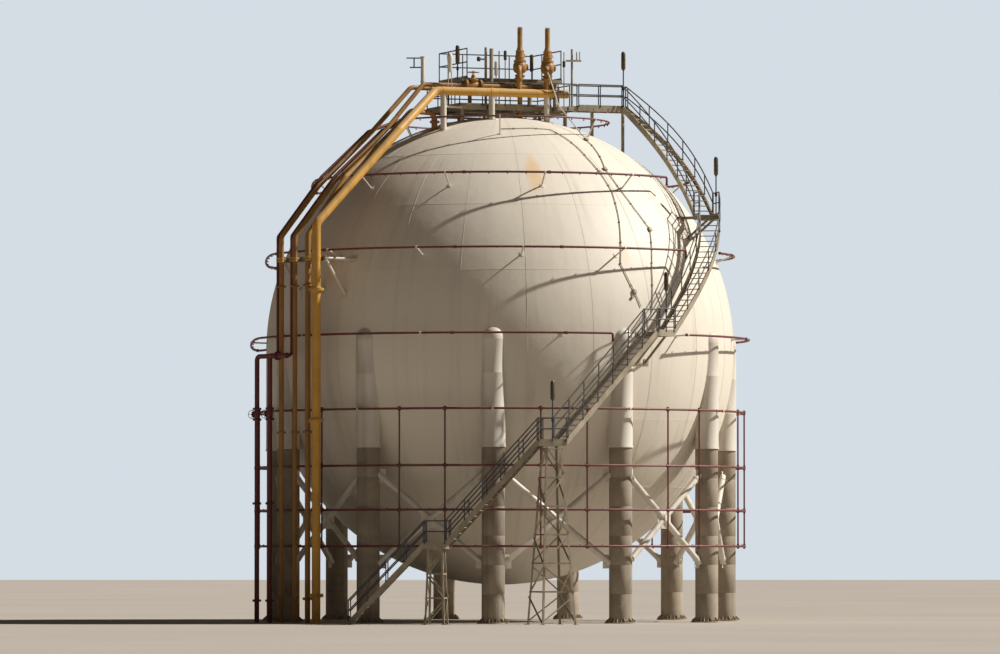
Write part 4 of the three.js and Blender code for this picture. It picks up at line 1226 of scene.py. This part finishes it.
# The stair: five flights that wind up the right side, with four landings between them
stair = {
    "width": 0.9, "plate": 0.02, "below": 0.18, "postLow": 0.12, "rise": 0.245, "half": 0.5, "depth": 0.2,
    "rail": 1.07, "side": 0.46, "postGap": 1.25, "postInset": 0.024, "endPosts": 0.012, "seat": 0.0003,
    "foot": (-6.7, -12.64, 0.0), "footHeading": -4.7, "string": (0.33, 0.06, 0.009), "past": 0.16,
    "steps": 80, "curvePieces": 18, "treadBars": 7, "treadBar": (0.005, 0.03), "nosing": (0.03, 0.034),
    "treadSide": (0.008, 0.06),
    "landings": {
        "landing_1": {"spot": (-2.81, -12.96, 3.54), "arriving": -4.7, "leaving": -12.0},
        "landing_2": {"spot": (2.27, -14.04, 8.07), "arriving": -12.0, "leaving": 41.63},
        "landing_3": {"spot": (7.13, -9.72, 13.04), "arriving": 41.63, "leaving": 47.0},
        "landing_4": {"spot": (9.46, -4.25, 18.55), "arriving": 97.0, "leaving": 108.0},
    },
}
topDeck = {
    "from": -2.592, "to": 3.024, "front": -1.46, "back": 2.808, "level": 23.74, "depth": 0.2, "rail": 1.07,
    "apronFrom": 2.0, "apronFront": -2.16, "inset": 0.04, "legInset": 0.26, "leg": 0.09, "post": 0.14,
    "tie": 0.06, "tieEnd": 0.1, "props": (-1.06, 0.216, 1.49), "prop": 0.07, "girt": 0.045, "girtDrop": 0.33,
    "overlap": 0.012, "inletSleeve": (0.03, 0.12),
}
walkway = {
    "across": -1.728, "end": 5.51, "leaving": -12.0, "posts": (0.35, 0.97), "depth": 0.2, "opening": 0.52,
    "post": 0.075,
}


def landingEdges(layout):
    centre = axis + Vector(layout["spot"])
    arriving, leaving = headingOf(layout["arriving"]), headingOf(layout["leaving"])
    return (centre - arriving * stair["half"], arriving), (centre + leaving * stair["half"], leaving)


landings = {node: landingEdges(layout) for node, layout in stair["landings"].items()}
walkStart = (onTop(topDeck["to"], walkway["across"], topDeck["level"]), topAlong)
walkEnd = (onTop(walkway["end"], walkway["across"], topDeck["level"]), headingOf(walkway["leaving"]))


# The walking line between two stations: straight, or a bend whose ends keep the stations' headings
def walkLine(start, startHeading, end, endHeading):
    bend = startHeading.cross(endHeading).z
    crossing = (start + end) / 2
    if abs(bend) > 0.01:
        crossing = start + startHeading * ((end - start).cross(endHeading).z / bend)
    flat = [Vector((point.x, point.y, 0)) for point in (start, crossing, end)]
    points, headings, lengths = [], [], [0.0]
    for step in range(stair["steps"] + 1):
        turn = step / stair["steps"]
        points.append(flat[0] * (1 - turn) ** 2 + flat[1] * 2 * turn * (1 - turn) + flat[2] * turn ** 2)
        headings.append(((flat[1] - flat[0]) * (1 - turn) + (flat[2] - flat[1]) * turn).normalized())
        if step:
            lengths.append(lengths[-1] + (points[-1] - points[-2]).length)

    def stationAt(share):
        goal = share * lengths[-1]
        index = min(max(sum(length < goal for length in lengths), 1), stair["steps"])
        part = (goal - lengths[index - 1]) / (lengths[index] - lengths[index - 1])
        point = points[index - 1].lerp(points[index], part)
        heading = headings[index - 1].lerp(headings[index], min(max(part, 0), 1)).normalized()
        return point + upward * (start.z + (end.z - start.z) * share), heading

    return stationAt, lengths[-1]


def besideLine(stationAt, share, offset):
    point, heading = stationAt(share)
    return point + leftOf(heading) * offset


# One grating tread: side plates, bearing bars and a nosing, along the line of travel at +Y
def treadTemplate(depth):
    half, count = stair["side"] - 0.01, stair["treadBars"]
    rows = [depth * (step + 0.5) / count - depth / 2 for step in range(count)]
    across = [(Vector((-half, row, 0)), Vector((half, row, 0))) for row in rows]
    (bar, deep), (nose, noseDeep), (thick, sideDeep) = stair["treadBar"], stair["nosing"], stair["treadSide"]
    parts = [bars(rectangle(bar, deep, -deep), across)]
    parts.append(block((2 * half, nose, noseDeep), Matrix.Translation((0, -depth / 2, -0.016)), 0.003))
    for side in (-half, half):
        parts.append(block((thick, depth, sideDeep), Matrix.Translation((side, 0, -sideDeep / 2))))
    return joined(parts)


def buildFlight(node, start, startHeading, end, endHeading):
    stationAt, length = walkLine(start, startHeading, end, endHeading)
    curved = startHeading.dot(endHeading) < 0.99
    slope = math.atan2(end.z - start.z, length)
    pieces = stair["curvePieces"] if curved else 1
    shares = [step / pieces for step in range(pieces + 1)]
    past = stair["past"] / length
    outline = channelOutline(*stair["string"], -stair["below"])
    profile = [(x, y * math.cos(slope)) for x, y in outline]
    strings = []
    for side in (-1, 1):
        reached = (-past, *shares[1:-1], 1 + past)
        line = [besideLine(stationAt, share, side * stair["side"]) for share in reached]
        string = swept([(-side * x, y) for x, y in profile], [line])
        bisected(string, start, -startHeading)
        bisected(string, end, endHeading)
        if start.z < axis.z + 0.01:
            bisected(string, Vector(), -upward)
        strings.append(string)
    risers = round((end.z - start.z) / stair["rise"])
    places = []
    for step in range(1, risers):
        point, heading = stationAt(step / risers)
        turn = math.atan2(heading.y, heading.x) - math.pi / 2
        places.append(Matrix.Translation(point) @ Matrix.Rotation(turn, 4, "Z"))
    treads = stamped(treadTemplate(length / risers + 0.02), places)
    deckSteel(node + "_steps", node, [*strings, treads])
    rails, posts = [], []
    margin = stair["endPosts"]
    count = max(2, round(length / math.cos(slope) / stair["postGap"]))
    for side in (-1, 1):
        rails.append([besideLine(stationAt, share, side * stair["side"]) for share in shares])
        spots = [margin + (1 - 2 * margin) * step / count for step in range(count + 1)]
        posts.extend(besideLine(stationAt, share, side * stair["side"]) for share in spots)
    deckRails(node + "_rails", node, railParts(rails, posts, stair["rail"], stair["postLow"]))


def landingCorners(arrive, leave, reach):
    sides = []
    for offset in (-reach, reach):
        sides.append([point + leftOf(heading) * offset for point, heading in (arrive, leave)])
    (rightStart, rightEnd), (leftStart, leftEnd) = sides
    return [rightStart, rightEnd, leftEnd, leftStart]


def landingParts(arrive, leave, depth):
    reach = stair["width"] / 2 + stair["plate"]
    corners = landingCorners(arrive, leave, reach)
    inner = landingCorners(arrive, leave, reach - steel["gratingInset"])
    rails = landingCorners(arrive, leave, stair["side"])
    runs = [rails[:2], rails[2:]]
    steelwork = [*deckFrame(corners, depth, 0.6), *grating(inner), toeBoards(runs)]
    posts = []
    for start, end in runs:
        along = (end - start).normalized() * stair["postInset"]
        posts.extend(postsAlong([start + along, end - along], stair["postGap"]))
    return steelwork, railParts(runs, posts, stair["rail"])


# A pair of struts holds each upper landing off the shell
struts = {
    "landing_3": {"spread": 0.23, "outset": 0.3, "reach": 1.9, "drop": 1.7, "bar": 0.1},
    "landing_4": {"spread": 0.3, "outset": 0.3, "reach": 1.5, "drop": 1.5, "bar": 0.1},
}


def strutParts(node, layout):
    size = struts[node]
    centre = axis + Vector(layout["spot"]) - upward * stair["depth"] / 2
    inward = (axis - centre) * Vector((1, 1, 0))
    inward.normalize()
    beams, feet = [], []
    for offset in (-size["spread"], size["spread"]):
        root = centre + leftOf(inward) * offset
        outer = root - inward * size["outset"]
        low = root + inward * size["reach"] - upward * size["drop"]
        for start, direction in ((outer, inward), (outer, low - outer)):
            foot = shellFoot(start, direction)
            beams.append((start, foot))
            feet.append(foot)
    outline = channelOutline(size["bar"], 0.06, 0.01, -size["bar"] / 2)
    return [bars(outline, beams), shellPads(*steel["pad"], feet)]


def buildStair():
    order = list(landings.values())
    foot = (axis + Vector(stair["foot"]), headingOf(stair["footHeading"]))
    last = (walkEnd[0], -walkEnd[1])
    leaves = [foot, *[leave for arrive, leave in order]]
    arrives = [*[arrive for arrive, leave in order], last]
    gap = stair["seat"]
    for index, ((low, along), (high, ahead)) in enumerate(zip(leaves, arrives)):
        buildFlight(f"stair_flight_{index + 1}", low + along * gap, along, high - ahead * gap, ahead)
    for node, (arrive, leave) in landings.items():
        steelwork, rails = landingParts(arrive, leave, stair["depth"])
        if node in struts:
            steelwork.extend(strutParts(node, stair["landings"][node]))
        deckSteel(node + "_deck", node, steelwork)
        deckRails(node + "_rails", node, rails)


buildStair()
print("stair made")


# Lattice towers of angle bars under the two lower landings
towers = {
    "landing_tower_1": {"under": "landing_1", "top": (0.35, 0.38), "base": (0.45, 0.6), "bays": 3},
    "landing_tower_2": {"under": "landing_2", "top": (0.35, 0.38), "base": (0.775, 1.3), "bays": 6},
}
towerSteel = {
    "leg": (0.09, 0.009), "lattice": (0.06, 0.007), "foot": (0.26, 0.26, 0.02), "past": 0.03, "bayEnd": 0.06,
    "levelEnd": 0.02,
}


def buildTower(node, size):
    layout = stair["landings"][size["under"]]
    centre = axis + Vector(layout["spot"])
    heading = (headingOf(layout["arriving"]) + headingOf(layout["leaving"])).normalized()
    side = leftOf(heading)
    head = centre.z - stair["depth"] - stair["seat"]

    def corner(along, across, share):
        reach = [base + (near - base) * share for near, base in zip(size["top"], size["base"])]
        middle = Vector((centre.x, centre.y, head * share))
        return middle + heading * along * reach[0] + side * across * reach[1]

    parts = []
    for along in (-1, 1):
        for across in (-1, 1):
            foot, tip = corner(along, across, 0), corner(along, across, 1)
            outline = [(-along * across * x, y) for x, y in angleOutline(*towerSteel["leg"])]
            past = upward * towerSteel["past"]
            parts.append(bars(outline, [(foot - past, tip + past)], heading * -along))
            plate = towerSteel["foot"]
            parts.append(block(plate, Matrix.Translation((foot.x, foot.y, plate[2] / 2)), 0.003))
    levels = [level / size["bays"] for level in range(1, size["bays"] + 1)]
    sloping, flat = [], []
    for bay in range(size["bays"]):
        low = (bay + towerSteel["bayEnd"]) / size["bays"]
        high = (bay + 1 - towerSteel["bayEnd"]) / size["bays"]
        turn = 1 if bay % 2 else -1
        for face in (-1, 1):
            sloping.append((corner(face, turn, low), corner(face, -turn, high)))
            sloping.append((corner(turn, face, low), corner(-turn, face, high)))
    end = towerSteel["levelEnd"]
    for share in [end + (1 - 2 * end) * level for level in levels]:
        for face in (-1, 1):
            flat.append((corner(face, -1, share), corner(face, 1, share)))
            flat.append((corner(-1, face, share), corner(1, face, share)))
    parts.extend(bars(angleOutline(*towerSteel["lattice"]), ends) for ends in (sloping, flat))
    whole = joined(parts)
    bisected(whole, Vector(), -upward)
    bisected(whole, Vector((0, 0, head)), upward)
    deckSteel(node + "_lattice", node, [whole])


for node, size in towers.items():
    buildTower(node, size)
print("towers made")


# Relief valves on their inlet pipes, each with an outlet elbow down to the relief header
reliefValve = {
    "across": -1.264, "alongs": (0.49, 1.86), "inlet": 0.11, "outlet": 0.12, "shift": -0.26,
    "outletHeight": 25.52, "jointHeight": 24.98, "seat": 25.13, "bonnet": 25.87, "boltCircle": 0.262,
    "bolt": (0.016, 0.03), "pad": (0.42, 0.02), "bend": 0.24, "joints": (0.02, 0.9),
    "port": {"height": 25.56, "reach": 0.34, "radius": 0.09}, "lever": ((0.1, 26.42), (0.3, 26.02)),
    "flap": {"height": 27.4, "tilt": 0.18, "outline": ((0, 0), (0.125, 0), (0.13, 0.012), (0, 0.03))},
    "body": [
        (0, 25.15), (0.24, 25.15), (0.24, 25.2), (0.15, 25.22), (0.16, 25.28), (0.25, 25.33),
        (0.305, 25.42), (0.32, 25.56), (0.305, 25.7), (0.25, 25.79), (0.29, 25.8), (0.29, 25.87),
        (0.215, 25.88), (0.21, 26.0), (0.225, 26.01), (0.225, 26.04), (0.205, 26.05), (0.185, 26.28),
        (0.2, 26.29), (0.2, 26.33), (0.16, 26.34), (0.125, 26.46), (0.115, 26.5), (0.115, 27.38),
        (0.09, 27.38), (0.09, 27.34), (0, 27.34),
    ],
}


def buildReliefValves():
    size = reliefValve
    for index, along in enumerate(size["alongs"]):
        node = f"relief_valve_{index + 1}"
        centre = onTop(along, size["across"], 0)
        body = turned(size["body"], 36)
        bolts = moved(boltRing(12, size["boltCircle"], *size["bolt"]), (0, 0, size["bonnet"]))
        body = moved(joined([body, bolts]), centre)
        seat = centre + upward * size["seat"]
        foot = shellFoot(seat, -upward)
        drop = onTop(along + size["shift"], headerLine["across"], size["outletHeight"])
        corners = [centre + upward * drop.z, drop, drop + upward * (relief["level"] - drop.z)]
        outlet = rounded(corners, size["bend"])
        joint = drop + upward * (size["jointHeight"] - drop.z)
        root = centre + upward * size["port"]["height"]
        port = root + topAlong * size["port"]["reach"]
        lever = [centre + upward * height + topAlong * reach for reach, height in size["lever"]]
        flap = placed(turned(size["flap"]["outline"], 24), Matrix.Rotation(size["flap"]["tilt"], 4, "Y"))
        moved(flap, centre + upward * size["flap"]["height"])
        parts = [
            body, tubes([[seat, foot]], size["inlet"], 20), tubes([outlet], size["outlet"], 20),
            flanges(size["inlet"], aimed([seat - upward * below for below in size["joints"]])),
            flanges(size["outlet"], aimed([joint])), shellPads(*size["pad"], [foot]),
            tubes([[root, port]], size["port"]["radius"], 16), sleeves(0.16, 0.05, [(port, topAlong)], 20),
            tubes([lever], 0.016, 8), flap,
        ]
        finished(node + "_body", parts, "valve_paint", node)


buildReliefValves()
print("relief valves made")


# Decks above the crown, set out along the relief header and across it
valveDeck = {
    "from": -2.0, "to": 2.75, "front": -0.87, "back": 2.78, "level": 25.05, "depth": 0.15, "rail": 1.38,
    "inset": 0.04, "legInset": 0.26, "leg": 0.09, "ladder": (0.9, 1.35), "ladderRise": 0.28,
    "ladderGap": 0.06, "ladderAbove": 0.9, "ladderSide": 0.022, "rung": 0.014,
}


def deckCorners(deck, inset=0.0):
    near, far = deck["front"] + inset, deck["back"] - inset
    low, high = deck["from"] + inset, deck["to"] - inset
    spots = ((low, near), (high, near), (high, far), (low, far))
    return [onTop(along, across, deck["level"]) for along, across in spots]


def legsDown(heads, radius):
    feet = [shellFoot(head, -upward) for head in heads]
    return [tubes(zip(heads, feet), radius, 16), shellPads(radius * 3.2, steel["pad"][1], feet)]


def buildTopDeck():
    deck = topDeck
    inset, level, depth = deck["inset"], deck["level"], deck["depth"]
    back = deck["front"] + deck["overlap"]
    apron = {**deck, "from": deck["apronFrom"], "front": deck["apronFront"], "back": back}
    steelwork = [*deckFrame(deckCorners(deck), depth), *deckFrame(deckCorners(apron), depth, 0.5)]
    for floor in (deck, apron):
        steelwork.extend(grating(deckCorners(floor, steel["gratingInset"])))
    corners = deckCorners(deck, inset)
    walkSide = onTop(deck["to"] - inset, walkway["across"] + walkway["opening"], level)
    frontEnd = onTop(deck["apronFrom"] - inset, deck["front"] + inset, level)
    runs = [[walkSide, corners[2], corners[3], corners[0], frontEnd], deckCorners(apron, inset)[:2]]
    steelwork.append(toeBoards(runs[:1]))
    heads = [corner - upward * depth / 2 for corner in deckCorners(deck, deck["legInset"])]
    steelwork.extend(legsDown(heads, deck["leg"]))
    sides = (deck["front"] + deck["legInset"], deck["back"] - deck["legInset"])
    props = [onTop(along, across, level - depth / 2) for along in deck["props"] for across in sides]
    steelwork.extend(legsDown(props, deck["prop"]))
    girts = raised(deckCorners(deck, deck["legInset"]), -deck["girtDrop"])
    steelwork.append(tubes([girts], deck["girt"], 12, closed=True))
    inlets = aimed([onTop(along, reliefValve["across"], level) for along in reliefValve["alongs"]])
    rim, long = deck["inletSleeve"]
    steelwork.append(sleeves(reliefValve["inlet"] + rim, long, inlets, 24))
    deckSteel("top_deck_floor", "top_deck", steelwork)
    deckRails("top_deck_rails", "top_deck", [part for run in runs for part in guardRail(run, deck["rail"])])
    posts = [atHeader(along) for along in headerLine["posts"]]
    ties = []
    for along in headerLine["posts"]:
        onDeck = max(along, deck["from"] + deck["legInset"])
        spots = ((along, headerLine["across"]), (onDeck, deck["front"] + deck["tieEnd"]))
        ties.append([onTop(*spot, level - depth / 2) for spot in spots])
    holders = [*legsDown(posts, deck["post"]), tubes(ties, deck["tie"], 12)]
    finished("header_posts", holders, "leg_paint", "top_deck")


def buildValveDeck():
    deck = valveDeck
    floor = grating(deckCorners(deck, steel["gratingInset"]))
    steelwork = [*deckFrame(deckCorners(deck), deck["depth"]), *floor]
    frontLeft, frontRight, backRight, backLeft = deckCorners(deck, deck["inset"])
    run = [frontLeft, backLeft, backRight, frontRight]
    steelwork.append(toeBoards([run]))
    drop = upward * (deck["level"] - topDeck["level"])
    heads = [corner - upward * 0.04 for corner in deckCorners(deck, deck["legInset"])]
    feet = [corner - drop for corner in deckCorners(deck, deck["legInset"])]
    steelwork.append(tubes(zip(heads, feet), deck["leg"], 16))
    steelwork.append(pads(*steel["pad"], aimed(feet)))
    sides = [onTop(deck["from"] - deck["ladderGap"], across, topDeck["level"]) for across in deck["ladder"]]
    steps = int(drop.z / deck["ladderRise"]) + 1
    rungs = [raised(sides, deck["ladderRise"] * (step + 0.5)) for step in range(steps)]
    rise = drop + upward * deck["ladderAbove"]
    steelwork.append(tubes([[side, side + rise] for side in sides], deck["ladderSide"], 10))
    steelwork.append(tubes(rungs, deck["rung"], 8))
    deckSteel("valve_deck_floor", "valve_deck", steelwork)
    deckRails("valve_deck_rails", "valve_deck", guardRail(run, deck["rail"]))


def buildWalkway():
    steelwork, rails = landingParts(walkStart, walkEnd, walkway["depth"])
    line = [walkStart[0].lerp(walkEnd[0], share) for share in walkway["posts"]]
    steelwork.extend(legsDown([point - upward * walkway["depth"] / 2 for point in line], walkway["post"]))
    deckSteel("walkway_deck", "walkway", steelwork)
    deckRails("walkway_rails", "walkway", rails)


buildTopDeck()
buildValveDeck()
buildWalkway()
print("decks made")


# Lamps on poles at the rails of the landings, the walkway and the valve deck
lamp = {
    "pole": 0.03, "low": 1.8, "deckLow": 0.7, "across": 0.38, "setBack": 0.05, "radius": 0.1, "height": 0.88,
    "box": (0.12, 0.09, 0.16), "boxHeight": 0.95, "boxUnder": 0.2, "bands": (0.3, 0.55),
}


def buildLamp(node, foot, low):
    radius, height = lamp["radius"], lamp["height"]
    bottom = foot + upward * low
    cap = radius * 0.92
    outline = [
        (0, 0), (0.05, 0), (0.06, 0.04), (radius * 0.9, 0.07), (radius, 0.1), (radius, height - 0.12),
        (cap, height - 0.1), (cap, height - 0.06), (0.05, height), (0, height),
    ]
    housing = moved(turned(outline, 20), bottom)
    bands = aimed([bottom + upward * share * height for share in lamp["bands"]])
    finished(node + "_lamp", [housing, sleeves(radius + 0.008, 0.02, bands, 20)], "lamp_housing", node)
    boxSpot = foot + upward * min(low - lamp["boxUnder"], lamp["boxHeight"])
    box = block(lamp["box"], Matrix.Translation(boxSpot), 0.008)
    deckRails(node + "_lamp_pole", node, [tubes([[foot, bottom + upward * 0.02]], lamp["pole"], 10), box])


def buildLamps():
    for node in ("landing_2", "landing_3", "landing_4"):
        rightStart, rightEnd = landingCorners(*landings[node], stair["side"])[:2]
        buildLamp(node, (rightStart + rightEnd) / 2, lamp["low"])
    leftEnd, leftStart = landingCorners(walkStart, walkEnd, stair["side"])[2:]
    buildLamp("walkway", leftEnd.lerp(leftStart, lamp["setBack"]), lamp["low"])
    deckFoot = onTop(valveDeck["from"] + valveDeck["inset"], lamp["across"], valveDeck["level"])
    buildLamp("valve_deck", deckFoot, lamp["deckLow"])


buildLamps()
print("lamps made")


# Small fittings among the decks: poles and housings as along, across, low, high and radius
fittings = {
    "poles": [
        (-1.12, -1.05, 23.74, 26.45, 0.06), (-0.86, -1.1, 23.74, 26.4, 0.09),
        (-0.476, -1.1, 23.74, 26.3, 0.03), (-0.63, -1.1, 23.74, 25.2, 0.022),
        (1.243, -0.83, 25.0, 25.5, 0.022), (-0.07, -0.83, 25.0, 26.0, 0.022),
        (2.74, -2.1, 23.7, 26.4, 0.05), (2.345, -2.1, 23.7, 26.25, 0.025), (2.05, -0.83, 25.0, 26.1, 0.02),
    ],
    "dark": [
        (1.243, -0.83, 25.4, 26.2, 0.085), (-0.07, -0.83, 25.9, 26.35, 0.07),
        (2.345, -2.1, 25.55, 25.85, 0.07), (2.05, -0.83, 26.0, 26.3, 0.06), (-1.45, -1.0, 25.8, 26.02, 0.09),
    ],
    "pale": [(-0.63, -1.1, 25.15, 25.82, 0.075)],
    "arm": {"ends": ((-1.5, -1.0, 25.9), (-1.12, -1.05, 25.9)), "radius": 0.04},
    "gauge": {
        "along": -3.18, "low": 25.2, "high": 26.05, "legs": 0.1, "head": 0.05, "radius": 0.13, "leg": 0.016,
        "sink": 0.02, "into": 0.05,
    },
    "crossArm": {
        "along": 2.74, "across": -2.1, "height": 25.86, "beam": (0.72, 0.1, 0.09), "shift": 0.08,
        "heads": (0.22, 0.36), "headHeight": 0.42, "head": 0.03,
    },
    "gate": {"along": -1.94, "radius": 0.16},
    "hoop": {"along": -2.7, "radius": 0.3, "lift": 0.06, "tube": 0.035},
}


def standing(rows):
    poles = []
    for along, across, low, high, radius in rows:
        poles.append(tubes([[onTop(along, across, low), onTop(along, across, high)]], radius, 12))
    return poles


def housings(rows):
    parts = []
    for along, across, low, high, radius in rows:
        tall, lip, taper = high - low, radius * 0.6, radius * 0.5
        outline = [(0, 0), (lip, 0), (radius, taper), (radius, tall - taper), (lip, tall), (0, tall)]
        parts.append(moved(turned(outline, 16), onTop(along, across, low)))
    return parts


def gaugeParts(size):
    foot = atHeader(size["along"], relief["radius"] - size["sink"])
    rise = upward * (size["low"] - foot.z + size["into"])
    stands = []
    for side in (-1, 1):
        stands.append([foot + topAlong * side * size["legs"], foot + rise + topAlong * side * size["head"]])
    tall, radius = size["high"] - size["low"], size["radius"]
    outline = [
        (0, 0), (0.06, 0), (0.075, 0.03), (radius, tall * 0.72), (radius, tall * 0.9), (0.08, tall), (0, tall)
    ]
    housing = moved(turned(outline, 18), (foot.x, foot.y, size["low"]))
    return [housing, tubes(stands, size["leg"], 8)]


def crossArmParts(size):
    middle = onTop(size["along"], size["across"], size["height"])
    beam = block(size["beam"], Matrix.Translation(middle + Vector((size["shift"], 0, 0))), 0.008)
    rise = upward * size["headHeight"]
    feet = [middle + Vector((shift, 0, 0)) for shift in size["heads"]]
    return [beam, *[tubes([[foot, foot + rise]], size["head"], 10) for foot in feet]]


def buildFittings():
    arm = [onTop(*end) for end in fittings["arm"]["ends"]]
    poles = [*standing(fittings["poles"]), tubes([arm], fittings["arm"]["radius"], 10)]
    deckSteel("top_poles", "top_deck", poles)
    finished("top_housings", housings(fittings["dark"]), "lamp_housing", "top_deck")
    housing, stands = gaugeParts(fittings["gauge"])
    pale = [*housings(fittings["pale"]), *crossArmParts(fittings["crossArm"]), housing, stands]
    finished("top_pale_fittings", pale, "leg_paint", "top_deck")
    size = fittings["gate"]
    gate = placed(gateValve(size["radius"]), facing(nextToHeader(size["along"]), topAlong, -topAcross))
    finished("line_valve", [gate], "valve_paint", "yellow_line_3")
    size = fittings["hoop"]
    middle = nextToHeader(size["along"], size["lift"])
    turns = [math.radians(15 * step) for step in range(13)]
    hoop = [middle + (topAlong * math.cos(turn) + upward * math.sin(turn)) * size["radius"] for turn in turns]
    deckRails("line_hoop", "yellow_line_3", [tubes([hoop], size["tube"], 10)])


buildFittings()
print("fittings made")


# Conduits clipped to the shell, as azimuth and latitude, with their junction boxes
conduits = {
    "radius": 0.02, "outward": 0.035, "clip": (0.045, 0.03), "clipGap": 1.1, "firstClip": 0.6, "steps": 6,
    "leadRadius": 0.028, "box": (0.17, 0.2, 0.11), "boxOutward": 0.05,
    "runs": [
        [(51.0, 62.1), (41.6, 48.4), (41.8, 41.7), (43.5, 35.2), (45.9, 29.3), (41.8, 18.6), (39.5, 7.9)],
        [
            (0.6, 67.6), (7.0, 67.8), (20.8, 68.4), (34.0, 67.8), (36.5, 62.4), (37.3, 57.4), (37.2, 52.4),
            (37.9, 47.0), (37.9, 40.4), (35.9, 32.4), (34.0, 26.1), (32.1, 19.7), (33.4, 16.2), (34.9, 12.8),
            (36.4, 9.1),
        ],
    ],
    "boxes": [(51.0, 62.1), (41.6, 48.4), (45.9, 29.3), (37.9, 47.0), (34.9, 12.8)],
    "lead": [(1.6, -1.96, 25.3), (2.02, -2.26, 23.75)], "eye": (34.1, 11.4),
    "eyeSize": (0.07, 0.09), "eyeOutward": 0.04,
}


# Points along the shell between two places, so that a conduit follows the curve
def overShell(places, outward):
    run = []
    shares = [step / conduits["steps"] for step in range(conduits["steps"])]
    for (here, low), (there, high) in zip(places, places[1:]):
        spots = [(here + (there - here) * share, low + (high - low) * share) for share in shares]
        run.extend(onBall(*spot, outward) for spot in spots)
    return [*run, onBall(*places[-1], outward)]


def buildConduits():
    size = conduits
    runs = [overShell(places, size["outward"]) for places in size["runs"]]
    clips = [spot for run in runs for spot in alongRun(run, size["clipGap"], size["firstClip"])]
    lead = [*[onTop(*spot) for spot in size["lead"]], runs[0][0]]
    finished("shell_conduit_lead", [tubes([lead], size["leadRadius"], 8)], "leg_paint")
    parts = [tubes(runs, size["radius"], 8), sleeves(*size["clip"], clips, 8)]
    for place in size["boxes"]:
        spot = onBall(*place, size["boxOutward"])
        parts.append(block(size["box"], facing(spot, spot - ballCentre), 0.01))
    spot = onBall(*size["eye"], size["eyeOutward"])
    parts.append(sleeves(*size["eyeSize"], [(spot, spot - ballCentre)], 20))
    finished("shell_conduits", parts, "galvanised_steel")


buildConduits()
print("conduits made")


# Stage, light and camera
stage = {
    "floorSize": 900.0, "sunFrom": (0.757, 0.08, 0.648), "sunPower": 5.15, "sunAngle": 1.5,
    "cameraBack": 303.0, "cameraHeight": 3.2, "lens": 236.0, "aim": (0.0, 0.0, 13.6),
    "skyLight": (0.62, 0.54, 0.5), "skyPower": 0.11, "skySeen": (0.66, 0.72, 0.78),
    "sunColour": (1.0, 0.965, 0.91), "floorDark": (0.45, 0.405, 0.35), "floorPale": (0.485, 0.44, 0.385),
    "viewEnd": 2000.0,
}


def buildStage():
    deselectAll()
    bpy.ops.mesh.primitive_plane_add(size=stage["floorSize"], location=(axis.x, axis.y, -0.001))
    floor = bpy.context.object
    floor.name = "studio_floor"
    finish = Finish("floor")
    clouds = finish.between(finish.noise(0.05, 4), 0.3, 0.7)
    colour = finish.mix(clouds, stage["floorDark"], stage["floorPale"])
    finish.feed(finish.shader.inputs["Base Color"], colour)
    finish.shader.inputs["Roughness"].default_value = 0.9
    floor.data.materials.append(finish.material)


def buildLight():
    deselectAll()
    bpy.ops.object.light_add(type="SUN")
    sun = bpy.context.object
    sun.data.energy = stage["sunPower"]
    sun.data.angle = math.radians(stage["sunAngle"])
    sun.data.color = stage["sunColour"]
    sun.rotation_euler = Vector(stage["sunFrom"]).to_track_quat("Z", "Y").to_euler()
    world = bpy.data.worlds.new("studio")
    bpy.context.scene.world = world
    world.use_nodes = True
    nodes, links = world.node_tree.nodes, world.node_tree.links
    soft = nodes["Background"]
    soft.inputs["Color"].default_value = (*stage["skyLight"], 1)
    soft.inputs["Strength"].default_value = stage["skyPower"]
    seen = nodes.new("ShaderNodeBackground")
    seen.inputs["Color"].default_value = (*stage["skySeen"], 1)
    blend = nodes.new("ShaderNodeMixShader")
    links.new(nodes.new("ShaderNodeLightPath").outputs["Is Camera Ray"], blend.inputs[0])
    links.new(soft.outputs[0], blend.inputs[1])
    links.new(seen.outputs[0], blend.inputs[2])
    links.new(blend.outputs[0], nodes["World Output"].inputs["Surface"])


def buildCamera():
    place = axis + Vector((0, -stage["cameraBack"], stage["cameraHeight"]))
    aim = axis + Vector(stage["aim"])
    deselectAll()
    bpy.ops.object.camera_add(location=place, rotation=(aim - place).to_track_quat("-Z", "Y").to_euler())
    camera = bpy.context.object
    camera.data.lens = stage["lens"]
    camera.data.clip_end = stage["viewEnd"]
    bpy.context.scene.camera = camera
    bpy.context.scene.view_settings.view_transform = "Standard"


buildStage()
buildLight()
buildCamera()
